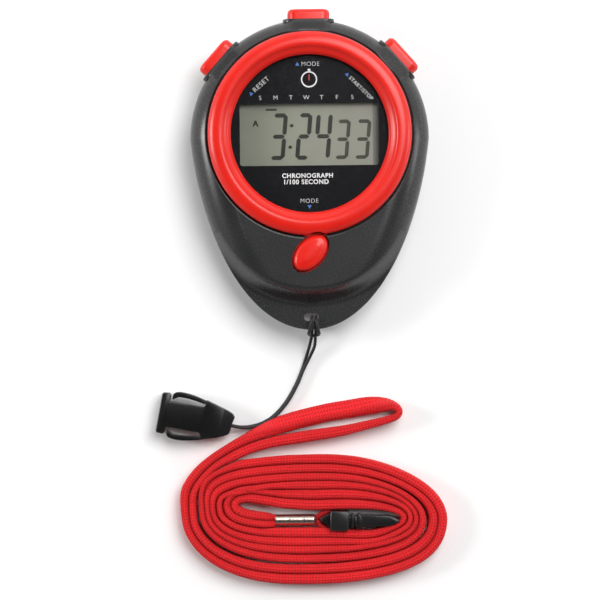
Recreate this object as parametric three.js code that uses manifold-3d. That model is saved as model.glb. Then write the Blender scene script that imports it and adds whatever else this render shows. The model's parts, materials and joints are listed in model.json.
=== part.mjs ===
// A digital sports stopwatch lying on its back, with the thin strap looped through its
// eyelet, the two halves of a release buckle, and a coiled neck lanyard.
// Units are millimetres and +Z is up. The origin is on the surface the watch lies on, at the
// middle of its plan outline. +Y points to twelve o'clock and +X to the right of the dial.
import * as THREE from 'three';
import { mergeVertices } from 'three/addons/utils/BufferGeometryUtils.js';
import Module from 'manifold-3d';

const wasm = await Module();
wasm.setup();

// ---------------------------------------------------------------- shared dimensions
const GAP = 0.3;                       // clearance kept between separate pieces
const LARGE_FACETS = 40;               // facets of the large circles
const MEDIUM_FACETS = 24;
const BOSS_FACETS = 16;
const SMALL_FACETS = 10;
const CURVE_STEPS = 4;                 // facets of each rounded end of a plate
const FINE_CURVE_STEPS = 8;
const FAR = 60;                        // cutting blocks reach this far to the sides
const BELOW = -1;                      // and from below every piece
const ABOVE = 20;                      // to above every piece of the watch

// ---------------------------------------------------------------- casing dimensions
const CASE_RADIUS = 31;                // round upper half of the casing
const CASE_CENTRE_Y = 8;
const CASE_BOTTOM_Y = -41.56;
const CASE_HEIGHT = 15.6;
const CASE_ROLL_HEIGHT = 7.3;          // rounded edge of the casing, measured along Z
const CASE_ROLL_WIDTH = 8;             // the same edge, measured in plan
const CASE_ROLL_STEPS = 5;
const CAVITY_ROLL_STEPS = 3;
const CASE_ARC_STEPS = 18;             // facets of the round upper half of the outline
const CASE_LOWER_STEPS = 26;           // facets of the narrowing lower half
const TAPER_LINEAR = 0.16;             // how the lower half narrows towards the eyelet
const TAPER_SQUARE = 0.075;
const WALL = 1.8;
const SPLIT_Z = 7;                     // parting plane of the two shells
const CAVITY_BOTTOM_Y = -33.6;         // the casing is solid below this line

const LIP_TOP_Z = 9.2;                 // front of the thin lip that holds the eyelet
const LIP_ARC_RADIUS = 30;             // the step above the lip is an arc this wide
const LIP_ARC_BOTTOM_Y = -34.9;
const LIP_STEP_START_Y = -20;
const LIP_ARC_FACETS = 64;
const SLOT = { x: 0, y: -38.2, width: 3.8, height: 2 };

const SEAL = { bottom: 5.5, top: 6.5, width: 0.8 };
const SEAL_INSET = WALL + 3 * GAP;     // distance from the outline to the seal
const SEAL_BAR_HALF_LENGTH = 12;       // straight run of the seal above the eyelet
const EXTRUDE_EDGE = 0.01;             // smallest bevel the extrusion needs for an inset

// ---------------------------------------------------------------- dial dimensions
const DIAL_Y = 9.1;                    // centre of the dial, lens and bezel ring
const RING_OUTER = 25.9;
const RING_SEAT_Z = 13.9;
const RING_PROFILE = [                 // section of the bezel ring: radius, z
  [20.3, 15.0],
  [22.5, 15.0],
  [22.5, 14.2],
  [RING_OUTER, 14.2],
  [RING_OUTER, 15.7],
  [25.0, 17.0],
  [23.7, 17.5],
  [22.6, 17.6],
  [21.8, 16.9],
  [20.5, 16.1],
  [20.3, 15.7],
];
const RING_NOTCH_CLEARANCE = 0.75;     // the ring is cut away round the front button
const LENS = { radius: 21.6, bottom: 13.4, top: 14.6, bevel: 0.3 };
const WELL_RADIUS = 28;                // reinforced well under the ring
const WELL_FLOOR_Z = 12.4;
const WELL_UNDER_Z = 11.4;
const WINDOW = { x: -0.1, y: 8.9, width: 35.8, height: 16 };
const WINDOW_MARGIN = 1.4;             // the well is cut this much wider than the window
const WINDOW_CUT_Z = 5;

const LCD_GLASS = { width: 42, height: 22.6, bottom: 8.9, top: 11.1 };
const LCD_REFLECTOR = { width: 38, height: 17, bottom: 8.3, top: 8.6 };
const LCD_FRAME = { width: 46, height: 25.2, bottom: 7.1, top: 11 };
const ZEBRA = { length: 38, width: 1.5, bottom: 7.1, top: 8.6, offset: 9.9 };

// ---------------------------------------------------------------- button dimensions
const BUTTON_WIDTH = 10.9;             // rim buttons: width along the rim
const BUTTON_HEIGHT = 4.6;
const BUTTON_Z = 10;
const BUTTON_FACE_RADIUS = 33.56;      // outer face, from the centre of the round half
const CAP_START_RADIUS = 30;
const CAP_ROLL = { height: 0.9, width: 0.8 };
const FLANGE_RADIUS = 28.4;            // the parts below start from this radius
const NECK = { start: 0.2, depth: 2.7 };
const FLANGE = { wider: 1.7, taller: 0.9, start: -0.3, depth: 0.9 };
const STEM = { width: 4.4, height: 2.2, start: -2.1, depth: 2 };
const RECESS = { wider: 2.4, taller: 1.6, end: 0.9 };
const RIM_CUT_START = 20;              // radii between which the rim openings are cut
const RIM_CUT_END = 40;
const COLLAR_FACE_RADIUS = 31;
const COLLAR_SIDE = 1.25;              // how far a collar stands out beside its button
const COLLAR_RIM = 0.8;                // and above and below it
const COLLAR_ROOT = 1;                 // how far it starts inside the wall
const RIM_BUTTONS = [
  { name: 'start', angle: 41.5 },
  { name: 'mode', angle: 90 },
  { name: 'reset', angle: 138.5 },
];

const LEAF_START = -2.7;               // contact leaves, from the flange radius
const LEAF_THICKNESS = 0.25;
const LEAF_BLADE = [[-2, -2.9], [2, -2.9], [2, 0.9], [-2, 0.9]];
const LEAF_FOOT = [[-2, -3.1], [2, -3.1], [2, -2.8], [-2, -2.8]];
const LEAF_FOOT_DEPTH = 2.4;

const FRONT_BUTTON = { x: -0.1, y: -21.7, long: 5.5, short: 3.45, tilt: 48 };
const FRONT_CAP = { bottom: 11, top: 16.9, rollHeight: 1.1, rollWidth: 1.2 };
const FRONT_FLANGE = { wider: 1.1, thickness: 2 };
const FRONT_HOLE_START_Z = 9;
const FRONT_WELL = { wider: 1.6, bottom: 5, top: 14.2 };
const DOME_PROFILE = [[0, 7.1], [3.4, 7.1], [3.4, 7.9], [2.4, 8.3], [1.9, 10.3], [0, 10.3]];

// ---------------------------------------------------------------- screws and bosses
const REAR_BOSS_RADIUS = 3.2;          // bosses that take the case screws
const FRONT_BOSS_RADIUS = 2.4;
const BOARD_BOSS_RADIUS = 1.9;
const SEAL_BOSS_RADIUS = REAR_BOSS_RADIUS + GAP + SEAL.width;
const CASE_SCREWS = [[-10.5, 31.8], [10.5, 31.8], [16.5, -22], [-16.5, -22]];
const CASE_SCREW_PROFILE = [
  [0, 0.9],
  [2, 0.9],
  [2, 2.3],
  [0.95, 2.4],
  [0.95, 11.5],
  [0.4, 12.2],
  [0, 12.2],
];
const CASE_SCREW_CROSS = { length: 2.2, width: 0.5, top: 1.6 };
const CASE_SCREW_BORE = { radius: 1.3, top: 12.6 };
const CASE_SCREW_HEAD_BORE = { radius: 2.4, top: 2.7 };
const BOARD_SCREWS = [[-7, 27], [7, 27], [9.5, -13.4], [-9.5, -13.4]];
const BOARD_SCREW_PROFILE = [[0, 4.3], [1.7, 4.5], [1.7, 5.3], [0.7, 5.3], [0.7, 10.4], [0, 10.6]];
const BOARD_SCREW_BORE = { radius: 1, top: 11 };

// ---------------------------------------------------------------- electronics
const BOARD = { bottom: 5.6, top: 6.8, radius: 21.6, tongueWidth: 23, tongueBottom: -28 };
const CHIP = { x: -6, y: 12 };
const CHIP_PROFILE = [[0, 4.0], [2.6, 4.2], [4.2, 4.7], [4.8, 5.3], [0, 5.3]];
const CRYSTAL = { x: -13.5, y: 3, z: 4.3, radius: 1, length: 6 };
const CAPACITOR = { width: 2, height: 1.25, thickness: 1.1 };
const CAPACITORS = [[-14, -2], [-10.5, -2]];
const CELL = { x: 9.5, y: -3 };
const CELL_PROFILE = [
  [0, 2.6],
  [4.9, 2.6],
  [5.2, 2.9],
  [5.8, 3.1],
  [5.8, 4.9],
  [5.6, 5.1],
  [0, 5.1],
];
const CLIP_TAB = { offset: 6.4, width: 0.3, height: 4, bottom: 2.1, top: 5.3 };
const CLIP_FOOT = { offset: 4.8, width: 3.4, height: 2.4, bottom: 2.0, top: 2.3 };
const BUZZER = { x: -6, y: 14 };
const BUZZER_PROFILE = [[0, 2.1], [10, 2.1], [10, 2.3], [7, 2.3], [7, 2.55], [0, 2.55]];
const SPRING = { x: 1.5, y: 14, halfWidth: 0.6 };
const SPRING_STRIP = [
  [0, 5.3],
  [0, 5],
  [2.4, 5],
  [3.6, 3.1],
  [5.4, 2.85],
  [5.4, 3.15],
  [3.9, 3.4],
  [2.7, 5.3],
];

// ---------------------------------------------------------------- strap and buckle
const STRAP = { diameter: 0.85, sides: 8, steps: 64 };
// The two strands lie together from the buckle's tip to near the eyelet.
const STRAP_RUN = [
  [-21.5, -66.25, 2.3],
  [-18.9, -66.75, 1.8],
  [-16.4, -66.7, 0.8],
  [-13.6, -66.0, 0.5],
  [-10.4, -64.2, 0.5],
  [-6.9, -60.4, 0.5],
  [-4.1, -55.6, 0.5],
  [-2.5, -51.8, 0.5],
];
const STRAP_SECOND_STRAND = [0.3, -0.15, 0.9];
// The hitch: up through the eyelet, over the lip, across the strands at the edge and back.
const STRAP_HITCH = [
  [-1.3, -48.2, 1.3],
  [-0.6, -45.8, 2.7],
  [0.05, -43.0, 4.0],
  [0.1, -42.3, 3.7],
  [0.1, -40.9, 2.2],
  [0.1, -39.4, 1.0],
  [0.1, -38.5, 1.6],
  [0.1, -38.3, 4.0],
  [0.1, -38.3, 8.4],
  [0.0, -38.9, 10.1],
  [-0.3, -40.4, 10.3],
  [-0.65, -42.2, 9.4],
  [-0.75, -42.5, 7.4],
  [-0.35, -42.9, 5.9],
  [0.6, -43.05, 5.6],
];
const HITCH_CENTRE_X = 0.6;
const HITCH_OWN_EXIT_POINTS = 3;       // end points the second side does not share
// The second strand leaves the hitch a little wider and joins the first one lower down.
const HITCH_EXIT = [[1.0, -43.0, 4.0], [0.75, -45.8, 2.9], [-0.3, -48.2, 2.0]];

// Buckle halves are drawn with u from the mouth or the strap end, and v across.
const SOCKET = { x: -40, y: -62.65, angle: -10.9, thickness: 5 };
const SOCKET_HALF_OUTLINE = [
  [0, 5.2],
  [2.2, 5.2],
  [2.2, 3.3],
  [9.6, 3.3],
  [9.6, 5.7],
  [11.4, 5.9],
  [17.4, 3.3],
  [19.2, 2.4],
];
const SOCKET_MOUTH = { u0: -1, u1: 9, halfWidth: 2.5, bottom: 1, top: 4 };
const SOCKET_CORD_HOLE = { u0: 17, u1: 20, halfWidth: 1.1, bottom: 1.3, top: 4 };
const LEVER_OUTLINE = [
  [9.3, 3.6],
  [9.3, 5.9],
  [7.6, 6.1],
  [5, 6],
  [3.1, 5.2],
  [2.9, 4.5],
  [4.2, 4.75],
  [7.9, 4.8],
  [8.1, 3.6],
];
const PLUG = { x: 4.3, y: -91.6, angle: -1.2, height: 6.4 };
const PLUG_WEDGE = { outline: [[-1.9, -0.2], [0.2, -1], [0.2, 1], [-1.9, 0.2]], inset: 1.2 };
const PLUG_BLOCK = { outline: [[0, -2.6], [4.9, -2.6], [4.9, 2.6], [0, 2.6]], roll: 0.5 };
const PLUG_NECK = { outline: [[4.5, -1.1], [7, -1.1], [7, 1.1], [4.5, 1.1]], inset: 0.7 };
const PLUG_BUMP = { u: 7.7, long: 1.2, short: 1.9, inset: 0.5 };
const PLUG_BLADE = {
  outline: [[8, -1.6], [15.7, -1.6], [18, -0.5], [18, 0.5], [15.7, 1.6], [8, 1.6]],
  inset: 0.8,
};

// ---------------------------------------------------------------- lanyard dimensions
const LANYARD_WIDTH = 4.8;             // the lanyard's flat tube, standing on edge
const STRAND_PITCH = 2.35;
const LOOP_THICKNESS = 2.2;
const COIL = { x: 0.1, y: -89.3, left: 35.1, right: 35.3, top: 15.1, bottom: 19.2, steps: 40 };
const COIL_BOTTOM_Z = 0.1;
const COIL_HOLE = { x: 2.9, y: -90.85, length: 40.2, height: 7.1 };
// From the crimp into the coil, both strands side by side.
const LEAD_ROUTE = [[-10.6, -91.0, 2.5], [-13.2, -90.9, 2.5], [-15.6, -90.85, 2.5]];
const LEAD_STEPS = 4;
// Both strands side by side, between the coil and the loop.
const PAIR_ROUTE = [
  [-31.2, -79.6, 2.5],
  [-28.8, -76.6, 2.5],
  [-25.3, -74.4, 2.5],
  [-21.2, -72.6, 2.5],
  [-16.2, -70.8, 2.5],
];
const PAIR_STEPS = 6;
// The folded end of the lanyard: out along one arm, round the tip and back.
const LOOP_ROUTE = [
  [-14.4, -68.4, 2.5],
  [-10.6, -67.0, 2.5],
  [-6.0, -65.6, 2.5],
  [-0.9, -64.3, 2.5],
  [4.6, -63.1, 2.5],
  [9.8, -62.3, 2.5],
  [14.2, -61.6, 2.5],
  [17.8, -61.3, 2.5],
  [20.6, -61.4, 2.5],
  [22.3, -62.2, 2.5],
  [22.8, -63.2, 2.5],
  [22.2, -64.2, 2.5],
  [20.4, -65.0, 2.5],
  [17.4, -65.8, 2.5],
  [13.7, -66.7, 2.5],
  [9.8, -67.6, 2.5],
  [4.5, -68.5, 2.5],
  [-0.7, -69.2, 2.5],
  [-4.6, -69.8, 2.5],
  [-8.5, -70.4, 2.5],
  [-12.5, -71.3, 2.5],
];
const LOOP_STEPS = 44;
const CRIMP = { x: -4.9, y: -91.15, z: 2.5, length: 10.4, halfWidth: 1.425, halfHeight: 2.185 };
const END_LOOP_ROUTE = [
  [3.9, -88.75, 2.6],
  [2.3, -89.7, 2.6],
  [0.95, -91.2, 2.6],
  [2.3, -92.8, 2.6],
  [3.9, -93.9, 2.6],
];
const END_LOOP = { radius: 0.7, sides: 8, steps: 12 };

// ---------------------------------------------------------------- materials
function finish(color, roughness, metalness = 0, opacity = 1) {
  const transparent = opacity < 1;
  return new THREE.MeshStandardMaterial({ color, roughness, metalness, opacity, transparent });
}
const graphite = finish(0x3a3a3c, 0.5);
const redPlastic = finish(0xe8392b, 0.35);
const clearPlastic = finish(0xf0f4f4, 0.05, 0, 0.3);
const blackPrint = finish(0x16181c, 0.3);
const lcdGrey = finish(0x8b8e80, 0.3);
const whitePlastic = finish(0xe6e4dc, 0.6);
const blackPlastic = finish(0x262524, 0.45);
const blackRubber = finish(0x1c1c1c, 0.8);
const boardGreen = finish(0x1f5a36, 0.5);
const steel = finish(0xb4b6b8, 0.3, 1);
const nickel = finish(0xb9a79a, 0.3, 1);
const brass = finish(0xc9a45a, 0.35, 1);
const capacitorTan = finish(0xb58a58, 0.6);
const redCord = finish(0xe5202a, 0.85);
const blackCord = finish(0x1e1e1e, 0.8);

// ---------------------------------------------------------------- geometry helpers
const MERGE_DISTANCE = 1e-4;

// One closed body: shared vertices are merged and triangles that fold to a line are dropped.
function closed(geometry) {
  const bare = geometry.clone();
  bare.deleteAttribute('normal');
  bare.deleteAttribute('uv');
  const merged = mergeVertices(bare, MERGE_DISTANCE);
  const corners = merged.index.array;
  const kept = [];
  for (let i = 0; i < corners.length; i += 3) {
    const a = corners[i];
    const b = corners[i + 1];
    const c = corners[i + 2];
    if (a !== b && b !== c && c !== a) {
      kept.push(a, b, c);
    }
  }
  merged.setIndex(kept);
  merged.computeVertexNormals();
  return merged;
}

function solid(geometry) {
  const body = closed(geometry);
  return new wasm.Manifold(new wasm.Mesh({
    numProp: 3,
    vertProperties: new Float32Array(body.attributes.position.array),
    triVerts: new Uint32Array(body.index.array),
  }));
}

function fromSolid(body) {
  const mesh = body.getMesh();
  const geometry = new THREE.BufferGeometry();
  geometry.setAttribute('position', new THREE.BufferAttribute(mesh.vertProperties, 3));
  geometry.setIndex(new THREE.BufferAttribute(mesh.triVerts, 1));
  geometry.computeVertexNormals();
  return geometry;
}

function join(...geometries) {
  return fromSolid(geometries.map(solid).reduce((a, b) => a.add(b)));
}

function cut(geometry, ...tools) {
  return fromSolid(tools.map(solid).reduce((a, b) => a.subtract(b), solid(geometry)));
}

function common(geometry, tool) {
  return fromSolid(solid(geometry).intersect(solid(tool)));
}

function block(x0, x1, y0, y1, z0, z1) {
  return new THREE.BoxGeometry(x1 - x0, y1 - y0, z1 - z0)
    .translate((x0 + x1) / 2, (y0 + y1) / 2, (z0 + z1) / 2);
}

function centredBlock(x, y, width, height, z0, z1) {
  return block(x - width / 2, x + width / 2, y - height / 2, y + height / 2, z0, z1);
}

function post(x, y, radius, z0, z1, facets = SMALL_FACETS) {
  return new THREE.CylinderGeometry(radius, radius, z1 - z0, facets)
    .rotateX(Math.PI / 2)
    .translate(x, y, (z0 + z1) / 2);
}

// The same post at each of a list of places.
function posts(places, radius, z0, z1, facets = SMALL_FACETS) {
  return places.map(([x, y]) => post(x, y, radius, z0, z1, facets));
}

// A body of revolution about Z; profile is a list of [radius, z] pairs, counter-clockwise.
function turned(profile, x, y, facets) {
  const points = profile.map(([radius, z]) => new THREE.Vector2(radius, z));
  return new THREE.LatheGeometry(points, facets).rotateX(Math.PI / 2).translate(x, y, 0);
}

function turnedRing(profile, x, y, facets) {
  return turned([...profile, profile[0]], x, y, facets);
}

function stadium(width, height) {
  const shape = new THREE.Shape();
  const r = height / 2;
  shape.absarc(width / 2 - r, 0, r, -Math.PI / 2, Math.PI / 2);
  shape.absarc(-width / 2 + r, 0, r, Math.PI / 2, 1.5 * Math.PI);
  return shape;
}

function ellipse(long, short, tilt = 0) {
  const shape = new THREE.Shape();
  shape.absellipse(0, 0, long, short, 0, 2 * Math.PI, false, THREE.MathUtils.degToRad(tilt));
  return shape;
}

function polygon(points) {
  return new THREE.Shape(points.map(([x, y]) => new THREE.Vector2(x, y)));
}

function plate(shape, z0, z1, curveSegments = CURVE_STEPS) {
  const options = { depth: z1 - z0, bevelEnabled: false, curveSegments };
  return new THREE.ExtrudeGeometry(shape, options).translate(0, 0, z0);
}

// A plate whose top and bottom edges are rounded inwards, so its outline stays the shape's.
function roundedPlate(shape, z0, z1, roll) {
  return new THREE.ExtrudeGeometry(shape, {
    depth: z1 - z0 - 2 * roll.height,
    bevelThickness: roll.height,
    bevelSize: roll.width,
    bevelOffset: -roll.width - (roll.inset ?? 0),
    bevelSegments: roll.steps ?? 2,
    curveSegments: roll.curveSteps ?? CURVE_STEPS,
  }).translate(0, 0, z0 + roll.height);
}

function tube(points, section, steps) {
  const route = points.map((point) => new THREE.Vector3(...point));
  const extrudePath = new THREE.CatmullRomCurve3(route, false, 'centripetal');
  return new THREE.ExtrudeGeometry(section, { steps, extrudePath, curveSegments: 2 });
}

function roundSection(radius, sides) {
  const points = [];
  for (let i = 0; i < sides; i += 1) {
    const angle = (i / sides) * 2 * Math.PI;
    points.push([radius * Math.cos(angle), radius * Math.sin(angle)]);
  }
  return polygon(points);
}

function flatSection(width, height) {
  const w = width / 2;
  const h = height / 2;
  return polygon([[-w, -h], [w, -h], [w, h], [-w, h]]);
}

const stopwatch = new THREE.Group();
function add(name, geometry, material) {
  const mesh = new THREE.Mesh(closed(geometry), material);
  mesh.name = name;
  stopwatch.add(mesh);
}

// ---------------------------------------------------------------- casing
// Plan outline: a round upper half, and a lower half that narrows to the eyelet.
function caseOutline() {
  const points = [];
  for (let i = 0; i < CASE_ARC_STEPS; i += 1) {
    const a = (i / CASE_ARC_STEPS) * Math.PI;
    points.push([CASE_RADIUS * Math.cos(a), CASE_CENTRE_Y + CASE_RADIUS * Math.sin(a)]);
  }
  for (let i = 0; i < CASE_LOWER_STEPS; i += 1) {
    const a = Math.PI + (i / CASE_LOWER_STEPS) * Math.PI;
    const t = -Math.sin(a);
    const taper = 1 - TAPER_LINEAR * t + TAPER_SQUARE * t ** 2;
    const y = CASE_CENTRE_Y + (CASE_BOTTOM_Y - CASE_CENTRE_Y) * t;
    points.push([CASE_RADIUS * Math.cos(a) * taper, y]);
  }
  return polygon(points);
}

function caseBody() {
  return roundedPlate(caseOutline(), 0, CASE_HEIGHT, {
    height: CASE_ROLL_HEIGHT,
    width: CASE_ROLL_WIDTH,
    steps: CASE_ROLL_STEPS,
  });
}

function caseCavity() {
  const hollow = roundedPlate(caseOutline(), WALL, CASE_HEIGHT - WALL, {
    height: CASE_ROLL_HEIGHT - WALL,
    width: CASE_ROLL_WIDTH - WALL,
    inset: WALL,
    steps: CAVITY_ROLL_STEPS,
  });
  return common(hollow, block(-FAR, FAR, CAVITY_BOTTOM_Y, FAR, BELOW, ABOVE));
}

// Places a shape drawn in (along the rim, up) so that its depth points away from the casing.
function onRim(geometry, angle, startRadius) {
  const a = THREE.MathUtils.degToRad(angle);
  const outward = new THREE.Vector3(Math.cos(a), Math.sin(a), 0);
  const up = new THREE.Vector3(0, 0, 1);
  const along = new THREE.Vector3().crossVectors(up, outward);
  const place = new THREE.Matrix4().makeBasis(along, up, outward);
  place.setPosition(startRadius * outward.x, CASE_CENTRE_Y + startRadius * outward.y, BUTTON_Z);
  return geometry.applyMatrix4(place);
}

function rimPad(width, height, angle, fromRadius, toRadius) {
  return onRim(plate(stadium(width, height), 0, toRadius - fromRadius), angle, fromRadius);
}

function collar(angle) {
  const width = BUTTON_WIDTH + 2 * COLLAR_SIDE;
  const height = BUTTON_HEIGHT + 2 * COLLAR_RIM;
  const root = CASE_RADIUS - WALL - COLLAR_ROOT;
  return rimPad(width, height, angle, root, COLLAR_FACE_RADIUS);
}

function rimOpenings(angle) {
  const holeWidth = BUTTON_WIDTH + 2 * GAP;
  const holeHeight = BUTTON_HEIGHT + 2 * GAP;
  const recessWidth = BUTTON_WIDTH + RECESS.wider;
  const recessHeight = BUTTON_HEIGHT + RECESS.taller;
  return [
    rimPad(holeWidth, holeHeight, angle, RIM_CUT_START, RIM_CUT_END),
    rimPad(recessWidth, recessHeight, angle, RIM_CUT_START, FLANGE_RADIUS + RECESS.end),
  ];
}

function eyeletSlot() {
  return plate(stadium(SLOT.width, SLOT.height), BELOW, ABOVE).translate(SLOT.x, SLOT.y, 0);
}

// Everything in front of the lip, below an arc that curves like a smile.
function lipStep() {
  const centreY = LIP_ARC_BOTTOM_Y + LIP_ARC_RADIUS;
  return cut(
    block(-FAR, FAR, -FAR, LIP_STEP_START_Y, LIP_TOP_Z, ABOVE),
    post(0, centreY, LIP_ARC_RADIUS, LIP_TOP_Z - 1, ABOVE + 1, LIP_ARC_FACETS),
  );
}

// An upright oval on the front button's axis, wider all round than the button.
function frontOval(wider, z0, z1) {
  const shape = ellipse(FRONT_BUTTON.long + wider, FRONT_BUTTON.short + wider, FRONT_BUTTON.tilt);
  return plate(shape, z0, z1, FINE_CURVE_STEPS).translate(FRONT_BUTTON.x, FRONT_BUTTON.y, 0);
}

function windowBlock(wider, z0, z1) {
  return centredBlock(WINDOW.x, WINDOW.y, WINDOW.width + wider, WINDOW.height + wider, z0, z1);
}

function frontShell() {
  const upper = block(-FAR, FAR, -FAR, FAR, SPLIT_Z + GAP / 2, ABOVE);
  const outside = join(caseBody(), ...RIM_BUTTONS.map(({ angle }) => collar(angle)));
  const hollow = cut(
    caseCavity(),
    post(0, DIAL_Y, WELL_RADIUS, WELL_UNDER_Z, ABOVE, LARGE_FACETS),
    ...posts(CASE_SCREWS, FRONT_BOSS_RADIUS, 0, ABOVE),
    ...posts(BOARD_SCREWS, BOARD_BOSS_RADIUS, BOARD.top + GAP, ABOVE),
  );
  const shell = cut(
    outside,
    hollow,
    post(0, DIAL_Y, RING_OUTER + GAP, RING_SEAT_Z, ABOVE, LARGE_FACETS),
    post(0, DIAL_Y, LENS.radius + GAP, WELL_FLOOR_Z, ABOVE, LARGE_FACETS),
    windowBlock(WINDOW_MARGIN, WINDOW_CUT_Z, ABOVE),
    frontOval(GAP, FRONT_HOLE_START_Z, ABOVE),
    frontOval(FRONT_WELL.wider, FRONT_WELL.bottom, FRONT_WELL.top),
    eyeletSlot(),
    lipStep(),
    ...RIM_BUTTONS.flatMap(({ angle }) => rimOpenings(angle)),
    ...posts(CASE_SCREWS, CASE_SCREW_BORE.radius, 0, CASE_SCREW_BORE.top),
    ...posts(BOARD_SCREWS, BOARD_SCREW_BORE.radius, 0, BOARD_SCREW_BORE.top),
  );
  return common(shell, upper);
}

function rearShell() {
  const lower = block(-FAR, FAR, -FAR, FAR, BELOW, SPLIT_Z - GAP / 2);
  const hollow = cut(caseCavity(), ...posts(CASE_SCREWS, REAR_BOSS_RADIUS, 0, ABOVE));
  const shell = cut(
    caseBody(),
    hollow,
    eyeletSlot(),
    ...posts(CASE_SCREWS, CASE_SCREW_BORE.radius, BELOW, ABOVE),
    ...posts(CASE_SCREWS, CASE_SCREW_HEAD_BORE.radius, BELOW, CASE_SCREW_HEAD_BORE.top),
  );
  return common(shell, lower);
}

// The casing's outline moved inwards, as a plate between two heights.
function outlinePlate(inset, z0, z1) {
  return new THREE.ExtrudeGeometry(caseOutline(), {
    depth: z1 - z0 - 2 * EXTRUDE_EDGE,
    bevelThickness: EXTRUDE_EDGE,
    bevelSize: EXTRUDE_EDGE,
    bevelOffset: -inset,
    bevelSegments: 1,
  }).translate(0, 0, z0 + EXTRUDE_EDGE);
}

// A seal that follows the inside of the rear wall, just under the parting line.
function caseSeal() {
  const { bottom, top, width } = SEAL;
  const startY = CAVITY_BOTTOM_Y + GAP;
  const inside = outlinePlate(SEAL_INSET, bottom - 1, top + 1);
  const loop = cut(
    outlinePlate(SEAL_INSET, bottom, top),
    outlinePlate(SEAL_INSET + width, bottom - 1, top + 1),
  );
  const open = common(loop, block(-FAR, FAR, startY, FAR, BELOW, ABOVE));
  const half = SEAL_BAR_HALF_LENGTH;
  const bar = common(block(-half, half, startY, startY + width, bottom, top), inside);
  const bosses = posts(CASE_SCREWS, SEAL_BOSS_RADIUS, bottom, top, BOSS_FACETS)
    .map((boss) => common(boss, inside));
  const clear = posts(CASE_SCREWS, REAR_BOSS_RADIUS + GAP, 0, ABOVE, BOSS_FACETS);
  return cut(join(open, bar, ...bosses), ...clear);
}

// ---------------------------------------------------------------- dial, ring and display
function bezelRing() {
  const notch = ellipse(
    FRONT_BUTTON.long + RING_NOTCH_CLEARANCE,
    FRONT_BUTTON.short + RING_NOTCH_CLEARANCE,
    FRONT_BUTTON.tilt,
  );
  const cutter = plate(notch, 0, ABOVE).translate(FRONT_BUTTON.x, FRONT_BUTTON.y, 0);
  return cut(turnedRing(RING_PROFILE, 0, DIAL_Y, LARGE_FACETS), cutter);
}

function dialLens() {
  const { radius, bottom, top, bevel } = LENS;
  const profile = [
    [0, bottom],
    [radius, bottom],
    [radius, top - bevel],
    [radius - bevel, top],
    [0, top],
  ];
  return turned(profile, 0, DIAL_Y, LARGE_FACETS);
}

function dialPlate() {
  return cut(
    post(0, DIAL_Y, LENS.radius, WELL_FLOOR_Z + GAP, LENS.bottom - GAP, LARGE_FACETS),
    windowBlock(0, WINDOW_CUT_Z, ABOVE),
  );
}

// A rectangular layer of the display, centred on the window.
function displayLayer({ width, height, bottom, top }) {
  return centredBlock(WINDOW.x, WINDOW.y, width, height, bottom, top);
}

function lcdFrame() {
  const opening = {
    width: LCD_GLASS.width + 2 * GAP,
    height: LCD_GLASS.height + 2 * GAP,
    bottom: 0,
    top: ABOVE,
  };
  return cut(displayLayer(LCD_FRAME), displayLayer(opening));
}

function zebraStrip(side) {
  const { length, width, bottom, top, offset } = ZEBRA;
  return centredBlock(WINDOW.x, WINDOW.y + side * offset, length, width, bottom, top);
}

// ---------------------------------------------------------------- electronics
function mainBoard() {
  const { bottom, top, radius, tongueWidth, tongueBottom } = BOARD;
  return cut(
    join(
      post(0, DIAL_Y, radius, bottom, top, LARGE_FACETS),
      block(-tongueWidth / 2, tongueWidth / 2, tongueBottom, 0, bottom, top),
    ),
    ...posts(BOARD_SCREWS, BOARD_SCREW_BORE.radius, 0, ABOVE),
    ...posts(CASE_SCREWS, SEAL_BOSS_RADIUS + GAP, 0, ABOVE),
  );
}

function crystalCan() {
  const { x, y, z, radius, length } = CRYSTAL;
  return new THREE.CylinderGeometry(radius, radius, length, SMALL_FACETS).translate(x, y, z);
}

function capacitor(x, y) {
  const { width, height, thickness } = CAPACITOR;
  const top = BOARD.bottom - GAP;
  return centredBlock(x, y, width, height, top - thickness, top);
}

// A clip of spring strip: a tab standing beside the cell and a foot bent under it.
function batteryClip(side) {
  const strips = [CLIP_TAB, CLIP_FOOT].map(({ offset, width, height, bottom, top }) => (
    centredBlock(CELL.x + side * offset, CELL.y, width, height, bottom, top)
  ));
  return join(...strips);
}

// A bent strip that carries the alarm signal from the board to the disc.
function buzzerSpring() {
  return plate(polygon(SPRING_STRIP), -SPRING.halfWidth, SPRING.halfWidth)
    .rotateX(Math.PI / 2)
    .translate(SPRING.x, SPRING.y, 0);
}

// ---------------------------------------------------------------- screws
function caseScrew(x, y) {
  const { length, width, top } = CASE_SCREW_CROSS;
  const cross = join(
    centredBlock(x, y, length, width, 0, top),
    centredBlock(x, y, width, length, 0, top),
  );
  return cut(turned(CASE_SCREW_PROFILE, x, y, SMALL_FACETS), cross);
}

// ---------------------------------------------------------------- buttons
function rimButton(angle) {
  const outline = stadium(BUTTON_WIDTH, BUTTON_HEIGHT);
  const flange = stadium(BUTTON_WIDTH + FLANGE.wider, BUTTON_HEIGHT + FLANGE.taller);
  const stem = stadium(STEM.width, STEM.height);
  const cap = roundedPlate(outline, 0, BUTTON_FACE_RADIUS - CAP_START_RADIUS, CAP_ROLL);
  return join(
    onRim(cap, angle, CAP_START_RADIUS),
    onRim(plate(outline, 0, NECK.depth), angle, FLANGE_RADIUS + NECK.start),
    onRim(plate(flange, 0, FLANGE.depth), angle, FLANGE_RADIUS + FLANGE.start),
    onRim(plate(stem, 0, STEM.depth), angle, FLANGE_RADIUS + STEM.start),
  );
}

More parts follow.
